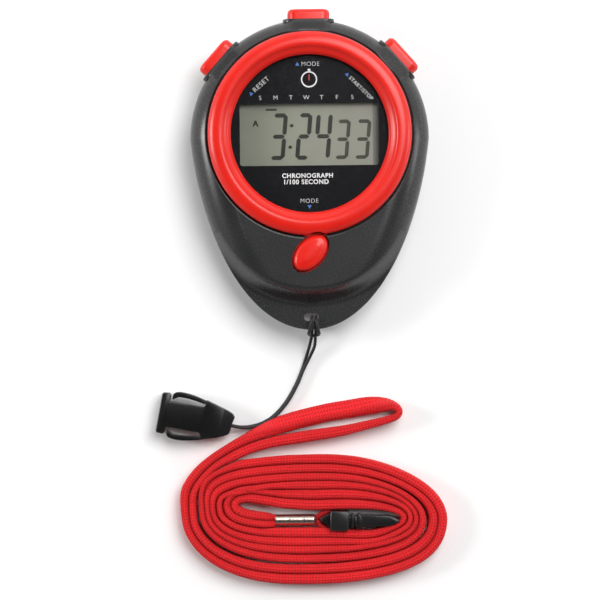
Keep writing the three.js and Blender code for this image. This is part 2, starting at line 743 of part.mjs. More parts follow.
// The leaf that a rim button presses: a foot on the board and a bent blade behind the stem.
function contactLeaf(angle) {
  const blade = plate(polygon(LEAF_BLADE), 0, LEAF_THICKNESS);
  const foot = plate(polygon(LEAF_FOOT), -LEAF_FOOT_DEPTH, LEAF_THICKNESS);
  const radius = FLANGE_RADIUS + LEAF_START;
  return join(onRim(blade, angle, radius), onRim(foot, angle, radius));
}

function frontButton() {
  const { x, y, long, short, tilt } = FRONT_BUTTON;
  const { bottom, top, rollHeight, rollWidth } = FRONT_CAP;
  const roll = { height: rollHeight, width: rollWidth, curveSteps: FINE_CURVE_STEPS };
  const cap = roundedPlate(ellipse(long, short, tilt), bottom, top, roll).translate(x, y, 0);
  const roof = FRONT_WELL.top;
  return join(cap, frontOval(FRONT_FLANGE.wider, roof - FRONT_FLANGE.thickness, roof - GAP));
}

// ---------------------------------------------------------------- strap
function strapRoute() {
  const dx = STRAP_SECOND_STRAND[0];
  const dy = STRAP_SECOND_STRAND[1];
  const dz = STRAP_SECOND_STRAND[2];
  const mirrored = STRAP_HITCH.slice(0, -1).reverse()
    .map(([x, y, z]) => [2 * HITCH_CENTRE_X - x, y, z])
    .slice(0, -HITCH_OWN_EXIT_POINTS);
  const back = STRAP_RUN.slice().reverse().map(([x, y, z]) => [x + dx, y + dy, z + dz]);
  return [...STRAP_RUN, ...STRAP_HITCH, ...mirrored, ...HITCH_EXIT, ...back];
}

// ---------------------------------------------------------------- release buckle
function placed({ x, y, angle }, geometry) {
  return geometry.rotateZ(THREE.MathUtils.degToRad(angle)).translate(x, y, 0);
}

function socketOpening({ u0, u1, halfWidth, bottom, top }) {
  return block(u0, u1, -halfWidth, halfWidth, bottom, top);
}

function buckleSocket() {
  const lower = SOCKET_HALF_OUTLINE.map(([u, v]) => [u, -v]);
  const upper = SOCKET_HALF_OUTLINE.slice().reverse();
  const body = plate(polygon([...lower, ...upper]), 0, SOCKET.thickness);
  const openings = [SOCKET_MOUTH, SOCKET_CORD_HOLE].map(socketOpening);
  return placed(SOCKET, cut(body, ...openings));
}

// One squeeze arm, hinged at its root beside the body of the socket.
function buckleLever(side) {
  const outline = polygon(LEVER_OUTLINE.map(([u, v]) => [u, side * v]));
  return placed(SOCKET, plate(outline, GAP, SOCKET.thickness - GAP));
}

function bucklePlug() {
  const { height } = PLUG;
  const inner = ({ outline, inset }) => plate(polygon(outline), inset, height - inset);
  const roll = { height: PLUG_BLOCK.roll, width: PLUG_BLOCK.roll, steps: 1 };
  const bump = ellipse(PLUG_BUMP.long, PLUG_BUMP.short);
  const body = join(
    inner(PLUG_WEDGE),
    roundedPlate(polygon(PLUG_BLOCK.outline), 0, height, roll),
    inner(PLUG_NECK),
    plate(bump, PLUG_BUMP.inset, height - PLUG_BUMP.inset).translate(PLUG_BUMP.u, 0, 0),
    inner(PLUG_BLADE),
  );
  return placed(PLUG, body);
}

// ---------------------------------------------------------------- lanyard
// The outer shape of the wound coil: four quarter ellipses round an oval hole.
function lanyardCoil() {
  const points = [];
  for (let i = 0; i < COIL.steps; i += 1) {
    const a = (i / COIL.steps) * 2 * Math.PI;
    const c = Math.cos(a);
    const s = Math.sin(a);
    const wide = c > 0 ? COIL.right : COIL.left;
    const high = s > 0 ? COIL.top : COIL.bottom;
    points.push([COIL.x + c * wide, COIL.y + s * high]);
  }
  const hole = plate(stadium(COIL_HOLE.length, COIL_HOLE.height), BELOW, ABOVE)
    .translate(COIL_HOLE.x, COIL_HOLE.y, 0);
  return cut(plate(polygon(points), COIL_BOTTOM_Z, COIL_BOTTOM_Z + LANYARD_WIDTH), hole);
}

function lanyardCrimp() {
  const { x, y, z, length, halfWidth, halfHeight } = CRIMP;
  return new THREE.CylinderGeometry(1, 1, length, SMALL_FACETS)
    .rotateZ(Math.PI / 2)
    .scale(1, halfWidth, halfHeight)
    .translate(x, y, z);
}

// ---------------------------------------------------------------- assembly
const domePlace = [FRONT_BUTTON.x, FRONT_BUTTON.y];
const strapSection = roundSection(STRAP.diameter / 2, STRAP.sides);
const pairSection = flatSection(LANYARD_WIDTH, 2 * STRAND_PITCH);
const loopSection = flatSection(LANYARD_WIDTH, LOOP_THICKNESS);
const endLoopSection = roundSection(END_LOOP.radius, END_LOOP.sides);

add('front_shell', frontShell(), graphite);
add('rear_shell', rearShell(), graphite);
add('case_seal', caseSeal(), blackRubber);
add('bezel_ring', bezelRing(), redPlastic);
add('dial_lens', dialLens(), clearPlastic);
add('dial_plate', dialPlate(), blackPrint);
add('lcd_glass', displayLayer(LCD_GLASS), lcdGrey);
add('lcd_reflector', displayLayer(LCD_REFLECTOR), steel);
add('lcd_frame', lcdFrame(), whitePlastic);
add('zebra_strip_upper', zebraStrip(1), blackRubber);
add('zebra_strip_lower', zebraStrip(-1), blackRubber);
add('main_board', mainBoard(), boardGreen);
add('chip_blob', turned(CHIP_PROFILE, CHIP.x, CHIP.y, LARGE_FACETS / 2), blackPlastic);
add('crystal_can', crystalCan(), steel);
CAPACITORS.forEach(([x, y], i) => {
  add(`capacitor_${i + 1}`, capacitor(x, y), capacitorTan);
});
add('buzzer_disc', turned(BUZZER_PROFILE, BUZZER.x, BUZZER.y, MEDIUM_FACETS), brass);
add('buzzer_spring', buzzerSpring(), steel);
add('battery_cell', turned(CELL_PROFILE, CELL.x, CELL.y, MEDIUM_FACETS), steel);
add('battery_clip_plus', batteryClip(1), steel);
add('battery_clip_minus', batteryClip(-1), steel);
CASE_SCREWS.forEach(([x, y], i) => {
  add(`case_screw_${i + 1}`, caseScrew(x, y), steel);
});
BOARD_SCREWS.forEach(([x, y], i) => {
  add(`board_screw_${i + 1}`, turned(BOARD_SCREW_PROFILE, x, y, SMALL_FACETS), steel);
});
for (const { name, angle } of RIM_BUTTONS) {
  add(`${name}_button`, rimButton(angle), redPlastic);
  add(`${name}_contact`, contactLeaf(angle), brass);
}
add('front_button', frontButton(), redPlastic);
add('front_key_dome', turned(DOME_PROFILE, ...domePlace, BOSS_FACETS), blackRubber);

add('strap_cord', tube(strapRoute(), strapSection, STRAP.steps), blackCord);
add('buckle_socket', buckleSocket(), blackPlastic);
add('buckle_lever_upper', buckleLever(1), blackPlastic);
add('buckle_lever_lower', buckleLever(-1), blackPlastic);
add('buckle_plug', bucklePlug(), blackPlastic);
add('lanyard_coil', lanyardCoil(), redCord);
add('lanyard_lead', tube(LEAD_ROUTE, pairSection, LEAD_STEPS), redCord);
add('lanyard_pair', tube(PAIR_ROUTE, pairSection, PAIR_STEPS), redCord);
add('lanyard_loop', tube(LOOP_ROUTE, loopSection, LOOP_STEPS), redCord);
add('lanyard_crimp', lanyardCrimp(), nickel);
add('lanyard_end_loop', tube(END_LOOP_ROUTE, endLoopSection, END_LOOP.steps), redCord);

export default stopwatch;
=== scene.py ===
"""Looks of a digital sports stopwatch with its strap, release buckle and coiled lanyard.

Every piece is built in millimetres in the CAD part's frame and stored in metres.
"""

import json
import math

import bmesh
import bpy
import numpy as np
from mathutils import Matrix, Vector

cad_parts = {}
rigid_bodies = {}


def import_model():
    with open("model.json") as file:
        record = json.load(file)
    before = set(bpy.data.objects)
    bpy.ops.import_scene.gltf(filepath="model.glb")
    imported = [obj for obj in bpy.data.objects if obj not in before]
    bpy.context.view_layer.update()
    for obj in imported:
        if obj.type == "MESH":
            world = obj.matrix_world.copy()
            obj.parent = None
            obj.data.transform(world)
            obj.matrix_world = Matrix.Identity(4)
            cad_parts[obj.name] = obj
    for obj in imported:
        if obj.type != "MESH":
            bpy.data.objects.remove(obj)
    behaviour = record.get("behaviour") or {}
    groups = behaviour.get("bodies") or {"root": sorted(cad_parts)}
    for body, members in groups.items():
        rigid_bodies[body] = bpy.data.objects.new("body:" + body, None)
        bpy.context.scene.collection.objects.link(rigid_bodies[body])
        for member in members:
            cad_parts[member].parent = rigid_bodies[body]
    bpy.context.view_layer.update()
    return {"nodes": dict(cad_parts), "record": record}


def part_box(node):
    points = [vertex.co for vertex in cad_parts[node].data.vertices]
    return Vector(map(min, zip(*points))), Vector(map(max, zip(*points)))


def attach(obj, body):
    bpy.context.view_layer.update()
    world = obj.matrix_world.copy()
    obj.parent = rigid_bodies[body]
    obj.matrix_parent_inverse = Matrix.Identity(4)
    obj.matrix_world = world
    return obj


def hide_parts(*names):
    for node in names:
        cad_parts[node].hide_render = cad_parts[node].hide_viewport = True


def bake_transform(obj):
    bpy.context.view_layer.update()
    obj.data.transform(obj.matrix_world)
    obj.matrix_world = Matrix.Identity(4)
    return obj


for leftover in list(bpy.data.objects):
    bpy.data.objects.remove(leftover)
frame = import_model()

MM = 0.001


def corners(node):
    """A CAD node's lowest and highest corners, in millimetres."""
    low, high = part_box(node)
    return np.array(low) / MM, np.array(high) / MM


def middle(node):
    low, high = corners(node)
    return (low + high) / 2


def distances(points):
    """How far along a line each of its points lies."""
    return np.concatenate([[0], np.cumsum(np.linalg.norm(np.diff(points, axis=0), axis=1))])


def unit(vectors):
    return vectors / np.linalg.norm(vectors, axis=1)[:, None]


def swell(x):
    """Smooth step from 0 to 1."""
    x = np.clip(x, 0, 1)
    return x * x * (3 - 2 * x)


def quarter_turn(steps):
    """Inset and rise of a rounded edge of radius 1, from its foot to its top."""
    angles = np.radians(np.linspace(0, 90, steps + 1))
    return list(zip(1 - np.cos(angles), np.sin(angles)))


# ------------------------------------------------------------------ camera
CAMERA_X, CAMERA_Y, CAMERA_HEIGHT = -2.93, -33.75, 800.0
CAMERA_ROLL = -0.6
SENSOR = 36.0
FIELD = 157.2

scene = bpy.context.scene
scene.view_settings.view_transform = "Standard"
camera_data = bpy.data.cameras.new("camera")
camera_data.sensor_width = SENSOR
camera_data.lens = SENSOR * CAMERA_HEIGHT / FIELD
camera = bpy.data.objects.new("camera", camera_data)
camera.location = (CAMERA_X * MM, CAMERA_Y * MM, CAMERA_HEIGHT * MM)
camera.rotation_euler = (0, 0, math.radians(CAMERA_ROLL))
scene.collection.objects.link(camera)
scene.camera = camera


# ------------------------------------------------------------------ mesh helpers
def build(name, verts, faces, recalc=True):
    """A mesh object from points in millimetres."""
    mesh = bpy.data.meshes.new(name)
    mesh.from_pydata((np.asarray(verts, float) * MM).tolist(), [], faces)
    if recalc:
        work = bmesh.new()
        work.from_mesh(mesh)
        bmesh.ops.recalc_face_normals(work, faces=work.faces)
        work.to_mesh(mesh)
        work.free()
    obj = bpy.data.objects.new(name, mesh)
    scene.collection.objects.link(obj)
    return obj


def applied(obj):
    """The object's modifiers become its mesh."""
    graph = bpy.context.evaluated_depsgraph_get()
    mesh = bpy.data.meshes.new_from_object(obj.evaluated_get(graph))
    obj.modifiers.clear()
    obj.data = mesh
    return obj


def boolean(obj, tools, operation="DIFFERENCE"):
    for tool in tools:
        change = obj.modifiers.new("boolean", "BOOLEAN")
        change.object = tool
        change.operation = operation
        change.solver = "MANIFOLD"
        applied(obj)
        bpy.data.objects.remove(tool)
    return obj


def bevelled(obj, width, segments=3, angle=40):
    change = obj.modifiers.new("bevel", "BEVEL")
    change.width = width * MM
    change.segments = segments
    change.limit_method = "ANGLE"
    change.angle_limit = math.radians(angle)
    return applied(obj)


def joined(name, objs):
    """Several meshes as one object."""
    work = bmesh.new()
    for obj in objs:
        work.from_mesh(obj.data)
        bpy.data.objects.remove(obj)
    mesh = bpy.data.meshes.new(name)
    work.to_mesh(mesh)
    work.free()
    obj = bpy.data.objects.new(name, mesh)
    scene.collection.objects.link(obj)
    return obj


def finished(obj, material, body="case", replaces=(), sharp=35):
    """Shading, material, body and the CAD nodes it stands for."""
    obj.data.materials.clear()
    obj.data.materials.append(material)
    obj.data.shade_smooth()
    obj.data.set_sharp_from_angle(angle=math.radians(sharp))
    if body:
        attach(obj, body)
    if replaces:
        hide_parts(*replaces)
    return obj


def rows_mesh(name, rows, closed=False):
    """A skin over rows of equally many points, each a closed loop; capped unless closed."""
    count = len(rows[0])
    faces = []
    for j in range(len(rows) if closed else len(rows) - 1):
        a, b = j * count, ((j + 1) % len(rows)) * count
        for i in range(count):
            k = (i + 1) % count
            faces.append((a + i, a + k, b + k, b + i))
    if not closed:
        faces.append(tuple(range(count - 1, -1, -1)))
        faces.append(tuple((len(rows) - 1) * count + i for i in range(count)))
    return build(name, np.concatenate(rows), faces)


def turned(name, profile, x, y, facets=160, closed=True):
    """A body of revolution about Z; profile is (radius, z) pairs."""
    angles = np.arange(facets) / facets * 2 * np.pi
    rows = [np.stack([x + r * np.cos(angles), y + r * np.sin(angles), np.full(facets, z)], 1)
            for r, z in profile]
    return rows_mesh(name, rows, closed=closed)


def plate(name, outline, z0, z1):
    outline = np.asarray(outline, float)
    low = np.column_stack([outline, np.full(len(outline), z0)])
    high = np.column_stack([outline, np.full(len(outline), z1)])
    return rows_mesh(name, [low, high])


def box(name, x0, x1, y0, y1, z0, z1):
    return plate(name, [(x0, y0), (x1, y0), (x1, y1), (x0, y1)], z0, z1)


def pill(width, height, count=64):
    """Outline of a plate with round ends, width along x."""
    r = height / 2
    a = (np.arange(count // 2) + 0.5) / (count // 2) * np.pi - np.pi / 2
    right = np.stack([width / 2 - r + r * np.cos(a), r * np.sin(a)], 1)
    return np.concatenate([right, -right])


def oval(long, short, tilt=0, count=96):
    a = np.arange(count) / count * 2 * np.pi
    c, s = math.cos(math.radians(tilt)), math.sin(math.radians(tilt))
    x, y = long * np.cos(a), short * np.sin(a)
    return np.stack([x * c - y * s, x * s + y * c], 1)


def rounded_rectangle(width, height, radius, steps=6):
    points = []
    for corner in range(4):
        cx = (width / 2 - radius) * (1 if corner in (0, 3) else -1)
        cy = (height / 2 - radius) * (1 if corner in (0, 1) else -1)
        for i in range(steps + 1):
            a = math.radians(90 * corner + 90 * i / steps)
            points.append((cx + radius * math.cos(a), cy + radius * math.sin(a)))
    return np.array(points)


def curve_piece(four, steps=12):
    """The centripetal Catmull-Rom curve between the middle two of four points."""
    gaps = np.linalg.norm(np.diff(four[:, :3], axis=0), axis=1)
    knots = np.concatenate([[0], np.cumsum(np.sqrt(gaps))])
    t = np.linspace(knots[1], knots[2], steps, endpoint=False)[:, None]

    def between(a, b, low, high):
        return ((knots[high] - t) * a + (t - knots[low]) * b) / (knots[high] - knots[low])

    first = [between(four[k], four[k + 1], k, k + 1) for k in range(3)]
    second = [between(first[k], first[k + 1], k, k + 2) for k in range(2)]
    return between(second[0], second[1], 1, 2)


def smooth_line(points, spacing):
    """A smooth curve through the points, at an even spacing; columns past z ride along."""
    p = np.asarray(points, float)
    p = np.concatenate([[2 * p[0] - p[1]], p, [2 * p[-1] - p[-2]]])
    pieces = [curve_piece(p[i - 1:i + 3]) for i in range(1, len(p) - 2)]
    dense = np.concatenate(pieces + [p[-2][None, :]])
    run = distances(dense[:, :3])
    even = np.linspace(0, run[-1], int(run[-1] / spacing) + 1)
    return np.stack([np.interp(even, run, dense[:, k]) for k in range(dense.shape[1])], 1)


# ------------------------------------------------------------------ material helpers
def principled(name):
    mat = bpy.data.materials.new(name)
    mat.use_nodes = True
    return mat, mat.node_tree, mat.node_tree.nodes["Principled BSDF"]


def link(tree, source, target):
    tree.links.new(source, target)


def adjust(node, **sockets):
    """Constant values on a node's sockets; an underscore stands for a space."""
    for key, value in sockets.items():
        node.inputs[key.replace("_", " ")].default_value = value


def coordinates(tree, kind="Object"):
    return tree.nodes.new("ShaderNodeTexCoord").outputs[kind]


def noise(tree, size, detail=4.0, rough=0.5):
    """Cloudy pattern; size is that of its clouds in millimetres."""
    node = tree.nodes.new("ShaderNodeTexNoise")
    adjust(node, Scale=1 / (size * MM), Detail=detail, Roughness=rough)
    link(tree, coordinates(tree), node.inputs["Vector"])
    return node.outputs["Fac"]


def map_range(tree, value, low, high, to_low=0.0, to_high=1.0):
    node = tree.nodes.new("ShaderNodeMapRange")
    adjust(node, From_Min=low, From_Max=high, To_Min=to_low, To_Max=to_high)
    link(tree, value, node.inputs["Value"])
    return node.outputs["Result"]


def ramp(tree, fac, stops):
    node = tree.nodes.new("ShaderNodeValToRGB")
    while len(node.color_ramp.elements) < len(stops):
        node.color_ramp.elements.new(0.5)
    for element, (position, colour) in zip(node.color_ramp.elements, stops):
        element.position = position
        element.color = (*colour, 1) if hasattr(colour, "__len__") else (colour,) * 3 + (1,)
    link(tree, fac, node.inputs["Fac"])
    return node.outputs["Color"]


def math_node(tree, operation, a, b=None):
    node = tree.nodes.new("ShaderNodeMath")
    node.operation = operation
    for socket, value in zip(node.inputs, (a, b)):
        if value is None:
            continue
        if isinstance(value, (int, float)):
            socket.default_value = value
        else:
            link(tree, value, socket)
    return node.outputs["Value"]


def mixed(tree, fac, a, b, blend="MIX"):
    node = tree.nodes.new("ShaderNodeMix")
    node.data_type = "RGBA"
    node.blend_type = blend
    colour_inputs = [s for s in node.inputs if s.type == "RGBA"]
    if isinstance(fac, (int, float)):
        node.inputs[0].default_value = fac
    else:
        link(tree, fac, node.inputs[0])
    for socket, value in zip(colour_inputs, (a, b)):
        if hasattr(value, "__len__"):
            socket.default_value = (*value, 1)
        else:
            link(tree, value, socket)
    return [s for s in node.outputs if s.type == "RGBA"][0]


def bump(tree, shader, height, strength, distance):
    node = tree.nodes.new("ShaderNodeBump")
    adjust(node, Strength=strength, Distance=distance * MM)
    link(tree, height, node.inputs["Height"])
    link(tree, node.outputs["Normal"], shader.inputs["Normal"])


FAC_LOW, FAC_HIGH = 0.3, 0.7    # a noise node's values lie mostly between these
DRIFT_SIZE = 9.0
EDGE_BEGINS, EDGE_FULL = 0.52, 0.6
WORN_LIFT = 0.02


def moulded(name, dark, light, rough, grain=0.35, grain_depth=0.02, strength=0.3, wear=0.0,
            **sockets):
    """Moulded or plated surface: slow colour drift, fine grain in gloss and relief."""
    mat, tree, shader = principled(name)
    colour = ramp(tree, noise(tree, DRIFT_SIZE, 3), [(FAC_LOW, dark), (FAC_HIGH, light)])
    if wear:
        geometry = tree.nodes.new("ShaderNodeNewGeometry")
        edge = ramp(tree, geometry.outputs["Pointiness"], [(EDGE_BEGINS, 0.0), (EDGE_FULL, 1.0)])
        worn = tuple(min(1.0, c * (1 + wear) + WORN_LIFT * wear) for c in light)
        colour = mixed(tree, edge, colour, worn)
    link(tree, colour, shader.inputs["Base Color"])
    fine = noise(tree, grain, 5, 0.6)
    link(tree, map_range(tree, fine, FAC_LOW, FAC_HIGH, *rough), shader.inputs["Roughness"])
    bump(tree, shader, fine, strength, grain_depth)
    adjust(shader, **sockets)
    return mat


graphite = moulded("graphite_plastic", (0.019, 0.0193, 0.020), (0.024, 0.0244, 0.0252),
                   (0.22, 0.30), grain=0.4, grain_depth=0.016, strength=0.4, wear=0.3,
                   Specular_IOR_Level=0.42)
red_gloss = moulded("red_plastic", (0.62, 0.011, 0.006), (0.68, 0.015, 0.008),
                    (0.28, 0.34), grain=0.7, grain_depth=0.002, strength=0.1, wear=0.05,
                    Specular_IOR_Level=0.42)
dial_black = moulded("dial_print", (0.006, 0.0065, 0.008), (0.009, 0.009, 0.011),
                     (0.12, 0.2), grain=0.8, grain_depth=0.004, strength=0.15)
print_white = moulded("print_white", (0.72, 0.72, 0.72), (0.85, 0.85, 0.85), (0.4, 0.5))
print_blue = moulded("print_blue", (0.05, 0.16, 0.55), (0.07, 0.2, 0.62), (0.4, 0.5))
print_red = moulded("print_red", (0.6, 0.05, 0.03), (0.66, 0.06, 0.04), (0.4, 0.5))
segment_ink = moulded("lcd_segments", (0.012, 0.013, 0.009), (0.019, 0.019, 0.013),
                      (0.3, 0.36), grain_depth=0.004)
# A lighter copy of the same segment ink for the small figures at the right: painted light.
segment_ink_painted_light = moulded("lcd_segments_painted_light", (0.036, 0.034, 0.022), (0.05, 0.047, 0.03),
                        (0.3, 0.36), grain_depth=0.004)
buckle_black = moulded("buckle_plastic", (0.005, 0.005, 0.0052), (0.008, 0.0079, 0.008),
                       (0.20, 0.28), grain=0.35, grain_depth=0.006, strength=0.2, wear=0.6,
                       Specular_IOR_Level=0.4)
nickel = moulded("nickel", (0.50, 0.44, 0.38), (0.62, 0.55, 0.48), (0.22, 0.34), grain=0.25,
                 grain_depth=0.01, strength=0.3, Metallic=1.0)
steel = moulded("steel", (0.42, 0.43, 0.44), (0.52, 0.53, 0.54), (0.25, 0.4), Metallic=1.0)
brass = moulded("brass", (0.62, 0.44, 0.17), (0.7, 0.5, 0.22), (0.25, 0.4), Metallic=1.0)
white_plastic = moulded("white_plastic", (0.72, 0.71, 0.66), (0.8, 0.79, 0.74), (0.45, 0.6))
rubber = moulded("black_rubber", (0.010, 0.010, 0.010), (0.018, 0.018, 0.018), (0.6, 0.8))
resin = moulded("black_resin", (0.006, 0.006, 0.006), (0.011, 0.011, 0.011), (0.2, 0.35))
tan_ceramic = moulded("capacitor_ceramic", (0.42, 0.24, 0.1), (0.5, 0.3, 0.13), (0.45, 0.6))


TRACK_SIZE = 6.0


def board_material():
    """Green solder mask with faint tracks."""
    mat, tree, shader = principled("circuit_board")
    wave = tree.nodes.new("ShaderNodeTexWave")
    adjust(wave, Scale=1 / (TRACK_SIZE * MM), Distortion=3)
    link(tree, coordinates(tree), wave.inputs["Vector"])
    tracks = ramp(tree, wave.outputs["Fac"], [(0.45, (0.01, 0.08, 0.03)),
                                              (0.55, (0.02, 0.14, 0.05))])
    link(tree, tracks, shader.inputs["Base Color"])
    adjust(shader, Roughness=0.4)
    bump(tree, shader, wave.outputs["Fac"], 0.3, 0.03)
    return mat


LCD_SHADE_REACH = 18.0


def lcd_painted_shade_material():
    """Grey-green display glass with painted shade: darker towards its left, and a painted shadow
    band past the right end of its figures.
    """
    mat, tree, shader = principled("lcd_glass")
    split = tree.nodes.new("ShaderNodeSeparateXYZ")
    link(tree, coordinates(tree), split.inputs["Vector"])
    across = map_range(tree, split.outputs["X"], -LCD_SHADE_REACH * MM, LCD_SHADE_REACH * MM)
    # Painted shade across the glass: darker towards the left, then a dark painted shadow band at
    # the right end.
    painted_shade = ramp(tree, across, [
        (0.0, (0.215, 0.228, 0.178)), (0.35, (0.275, 0.288, 0.226)),
        (0.951, (0.300, 0.300, 0.250)), (0.957, (0.175, 0.173, 0.152))])
    cloud = ramp(tree, noise(tree, 7, 3), [(FAC_LOW, 0.94), (FAC_HIGH, 1.0)])
    link(tree, mixed(tree, 1.0, painted_shade, cloud, "MULTIPLY"), shader.inputs["Base Color"])
    bump(tree, shader, noise(tree, 0.3, 3), 0.1, 0.005)
    adjust(shader, Roughness=0.28)
    return mat


def lens_material():
    """Thin clear acrylic with faint waviness."""
    mat, tree, shader = principled("clear_acrylic")
    drift = ramp(tree, noise(tree, 6, 2), [(FAC_LOW, 0.045), (FAC_HIGH, 0.07)])
    link(tree, drift, shader.inputs["Roughness"])
    adjust(shader, Base_Color=(0.03, 0.03, 0.03, 1), Alpha=0.05)
    bump(tree, shader, noise(tree, 8, 2), 0.08, 0.02)
    mat.surface_render_method = "BLENDED"
    return mat


# The knit's columns and rows in millimetres, the slant of a stitch in rows, and how much the
# stitches, their ridges and the loose fibre add to the relief and to the painted shade that
# follows it.
WALE, COURSE, SLANT_OF_STITCH = 0.72, 0.8, 1.3
STITCH_SHARE, RIDGE_SHARE, FIBRE_SHARE = 0.55, 0.45, 0.35


def knit_material():
    """Red knitted tube: rows of V stitches along the cord, with painted shade between the
    stitches.
    """
    mat, tree, shader = principled("red_knit")
    uv = tree.nodes.new("ShaderNodeUVMap")
    uv.uv_map = "knit"
    split = tree.nodes.new("ShaderNodeSeparateXYZ")
    link(tree, uv.outputs["UV"], split.inputs["Vector"])
    column = math_node(tree, "FRACT", math_node(tree, "DIVIDE", split.outputs["Y"], WALE))
    side = math_node(tree, "ABSOLUTE", math_node(tree, "SUBTRACT", column, 0.5))
    along = math_node(tree, "DIVIDE", split.outputs["X"], COURSE)
    slanted = math_node(tree, "ADD", along,
                        math_node(tree, "MULTIPLY", side, SLANT_OF_STITCH))
    wave = math_node(tree, "SINE", math_node(tree, "MULTIPLY", slanted, 2 * math.pi))
    stitch = math_node(tree, "ADD", math_node(tree, "MULTIPLY", wave, 0.5), 0.5)
    ridge = math_node(tree, "SUBTRACT", 1.0,
                      math_node(tree, "POWER", math_node(tree, "MULTIPLY", side, 2.0), 3.0))
    height = math_node(tree, "ADD", math_node(tree, "MULTIPLY", stitch, STITCH_SHARE),
                       math_node(tree, "MULTIPLY", ridge, RIDGE_SHARE))
    fibre = noise(tree, 0.12, 4, 0.7)
    height = math_node(tree, "ADD", height, math_node(tree, "MULTIPLY", fibre, FIBRE_SHARE))
    # Painted shade: the colour follows the relief, dark between the stitches and lighter on their
    # tops.
    shade = ramp(tree, height, [(0.40, (0.34, 0.002, 0.004)), (0.75, (0.78, 0.007, 0.012)),
                                (1.0, (0.92, 0.016, 0.022))])
    slow = ramp(tree, noise(tree, 14, 2), [(FAC_LOW, 0.90), (FAC_HIGH, 1.0)])
    link(tree, mixed(tree, 1.0, shade, slow, "MULTIPLY"), shader.inputs["Base Color"])
    bump(tree, shader, height, 0.9, 0.3)
    adjust(shader, Specular_IOR_Level=0.3, Roughness=0.68, Sheen_Weight=0.06,
           Sheen_Roughness=0.4, Sheen_Tint=(1.0, 0.35, 0.3, 1))
    return mat


def braid_material():
    """Black braided polyester."""
    mat, tree, shader = principled("black_braid")
    fine = noise(tree, 0.15, 4, 0.7)
    link(tree, ramp(tree, fine, [(FAC_LOW, 0.003), (0.75, 0.011)]), shader.inputs["Base Color"])
    bump(tree, shader, fine, 0.6, 0.03)
    adjust(shader, Roughness=0.6, Sheen_Weight=0.05)
    return mat


board_green = board_material()
lcd_grey_painted_shade = lcd_painted_shade_material()
acrylic = lens_material()
red_knit = knit_material()
black_braid = braid_material()

# ------------------------------------------------------------------ lanyard
COIL_LOW = corners("lanyard_coil")[0]
CENTRE_FROM_LOW = 35.1, 19.2
CENTRE_X, CENTRE_Y = COIL_LOW[:2] + CENTRE_FROM_LOW
COIL_START, COIL_END, STEPS_PER_TURN = 0.25, 2.97, 60
# Half axes of the wound pair's middle line, against turns counted from the left end.
HALF_LENGTHS = [(0, 22.3), (0.5, 24.4), (1, 25.5), (1.5, 27.3), (2, 28.4), (2.5, 32.3),
                (3, 32.6)]
HALF_HEIGHTS = [(0.1, 3.0), (0.25, 3.44), (0.75, 6.2), (1.25, 8.4), (1.75, 10.75),
                (2.25, 12.8), (2.75, 15.96), (3.05, 17.5)]
CORNERS = [(0.12, 2.6), (0.375, 2.5), (0.625, 2.7), (0.875, 2.6), (1.125, 2.6),
           (1.375, 2.3), (1.625, 2.4), (1.875, 2.4), (2.125, 2.75), (2.375, 2.12),
           (2.625, 2.5), (2.875, 2.3), (3.1, 2.3)]
PITCHES = [(0, 1.0), (0.25, 1.4), (0.5, 0.85), (0.75, 1.25), (1, 0.8), (1.25, 1.0),
           (1.5, 0.9), (1.75, 1.05), (2, 0.85), (2.25, 1.2), (2.5, 1.25), (2.75, 1.33),
           (3, 1.05)]
# One turn gives way to the plug by this much, at this turn and over this share of a turn.
PLUG_BULGE, PLUG_BULGE_AT, PLUG_BULGE_TURNS = 1.4, 0.665, 0.06
END_TILT, TOP_LEAN = 1.3, 1.2
LEAD_LINE = [(-10.0, -91.15), (-14.0, -91.0), (-17.4, -90.5), (-19.6, -89.8), (-21.1, -88.7),
             (-21.8, -87.2), (-21.3, -85.6), (-19.9, -84.5), (-17.8, -84.0), (-14.3, -84.3),
             (-8.1, -85.3)]
LEAD_PITCH, CRIMP_PITCH, TAPER = 1.0, 0.7, 2.8
CRIMP_X, CRIMP_Y, CRIMP_Z = middle("lanyard_crimp")
# Folded end of the lanyard: x, y, thickness, and how far it is turned flat in degrees.
UPPER_ARM = [
    (-33.5, -83.6, 2.1, 0), (-31.9, -80.4, 2.1, 0), (-29.5, -77.6, 2.1, 0),
    (-26.6, -75.2, 2.1, 0), (-23.4, -73.1, 2.2, 0), (-20.2, -71.2, 2.3, 0),
    (-17.3, -69.7, 2.5, 5), (-14.4, -68.4, 2.7, 18), (-10.6, -67.0, 3.0, 38),
    (-6.0, -65.6, 3.2, 55), (-0.9, -64.3, 3.3, 62), (4.6, -63.1, 3.3, 66),
    (9.8, -62.3, 3.3, 64), (14.2, -61.6, 3.1, 54), (17.8, -61.3, 2.7, 34),
    (20.6, -61.4, 2.2, 12), (22.3, -62.2, 1.9, 0), (22.8, -63.2, 1.8, 0),
    (22.2, -64.2, 1.8, 0), (20.4, -65.0, 1.9, 0),
]
LOWER_ARM = [
    (17.4, -65.8, 2.1, 0), (13.7, -66.7, 2.3, 0), (9.8, -67.6, 2.5, 0), (4.5, -68.5, 2.8, 0),
    (-0.7, -69.2, 2.9, 0), (-4.6, -69.8, 2.9, 0), (-8.5, -70.4, 2.7, 0),
    (-12.5, -71.3, 2.5, 0), (-16.2, -72.4, 2.3, 0), (-19.4, -73.6, 2.2, 0),
    (-22.4, -75.2, 2.1, 0), (-25.4, -77.3, 2.1, 0), (-27.9, -79.8, 2.1, 0),
    (-29.9, -82.4, 2.1, 0), (-31.0, -84.6, 2.1, 0),
]
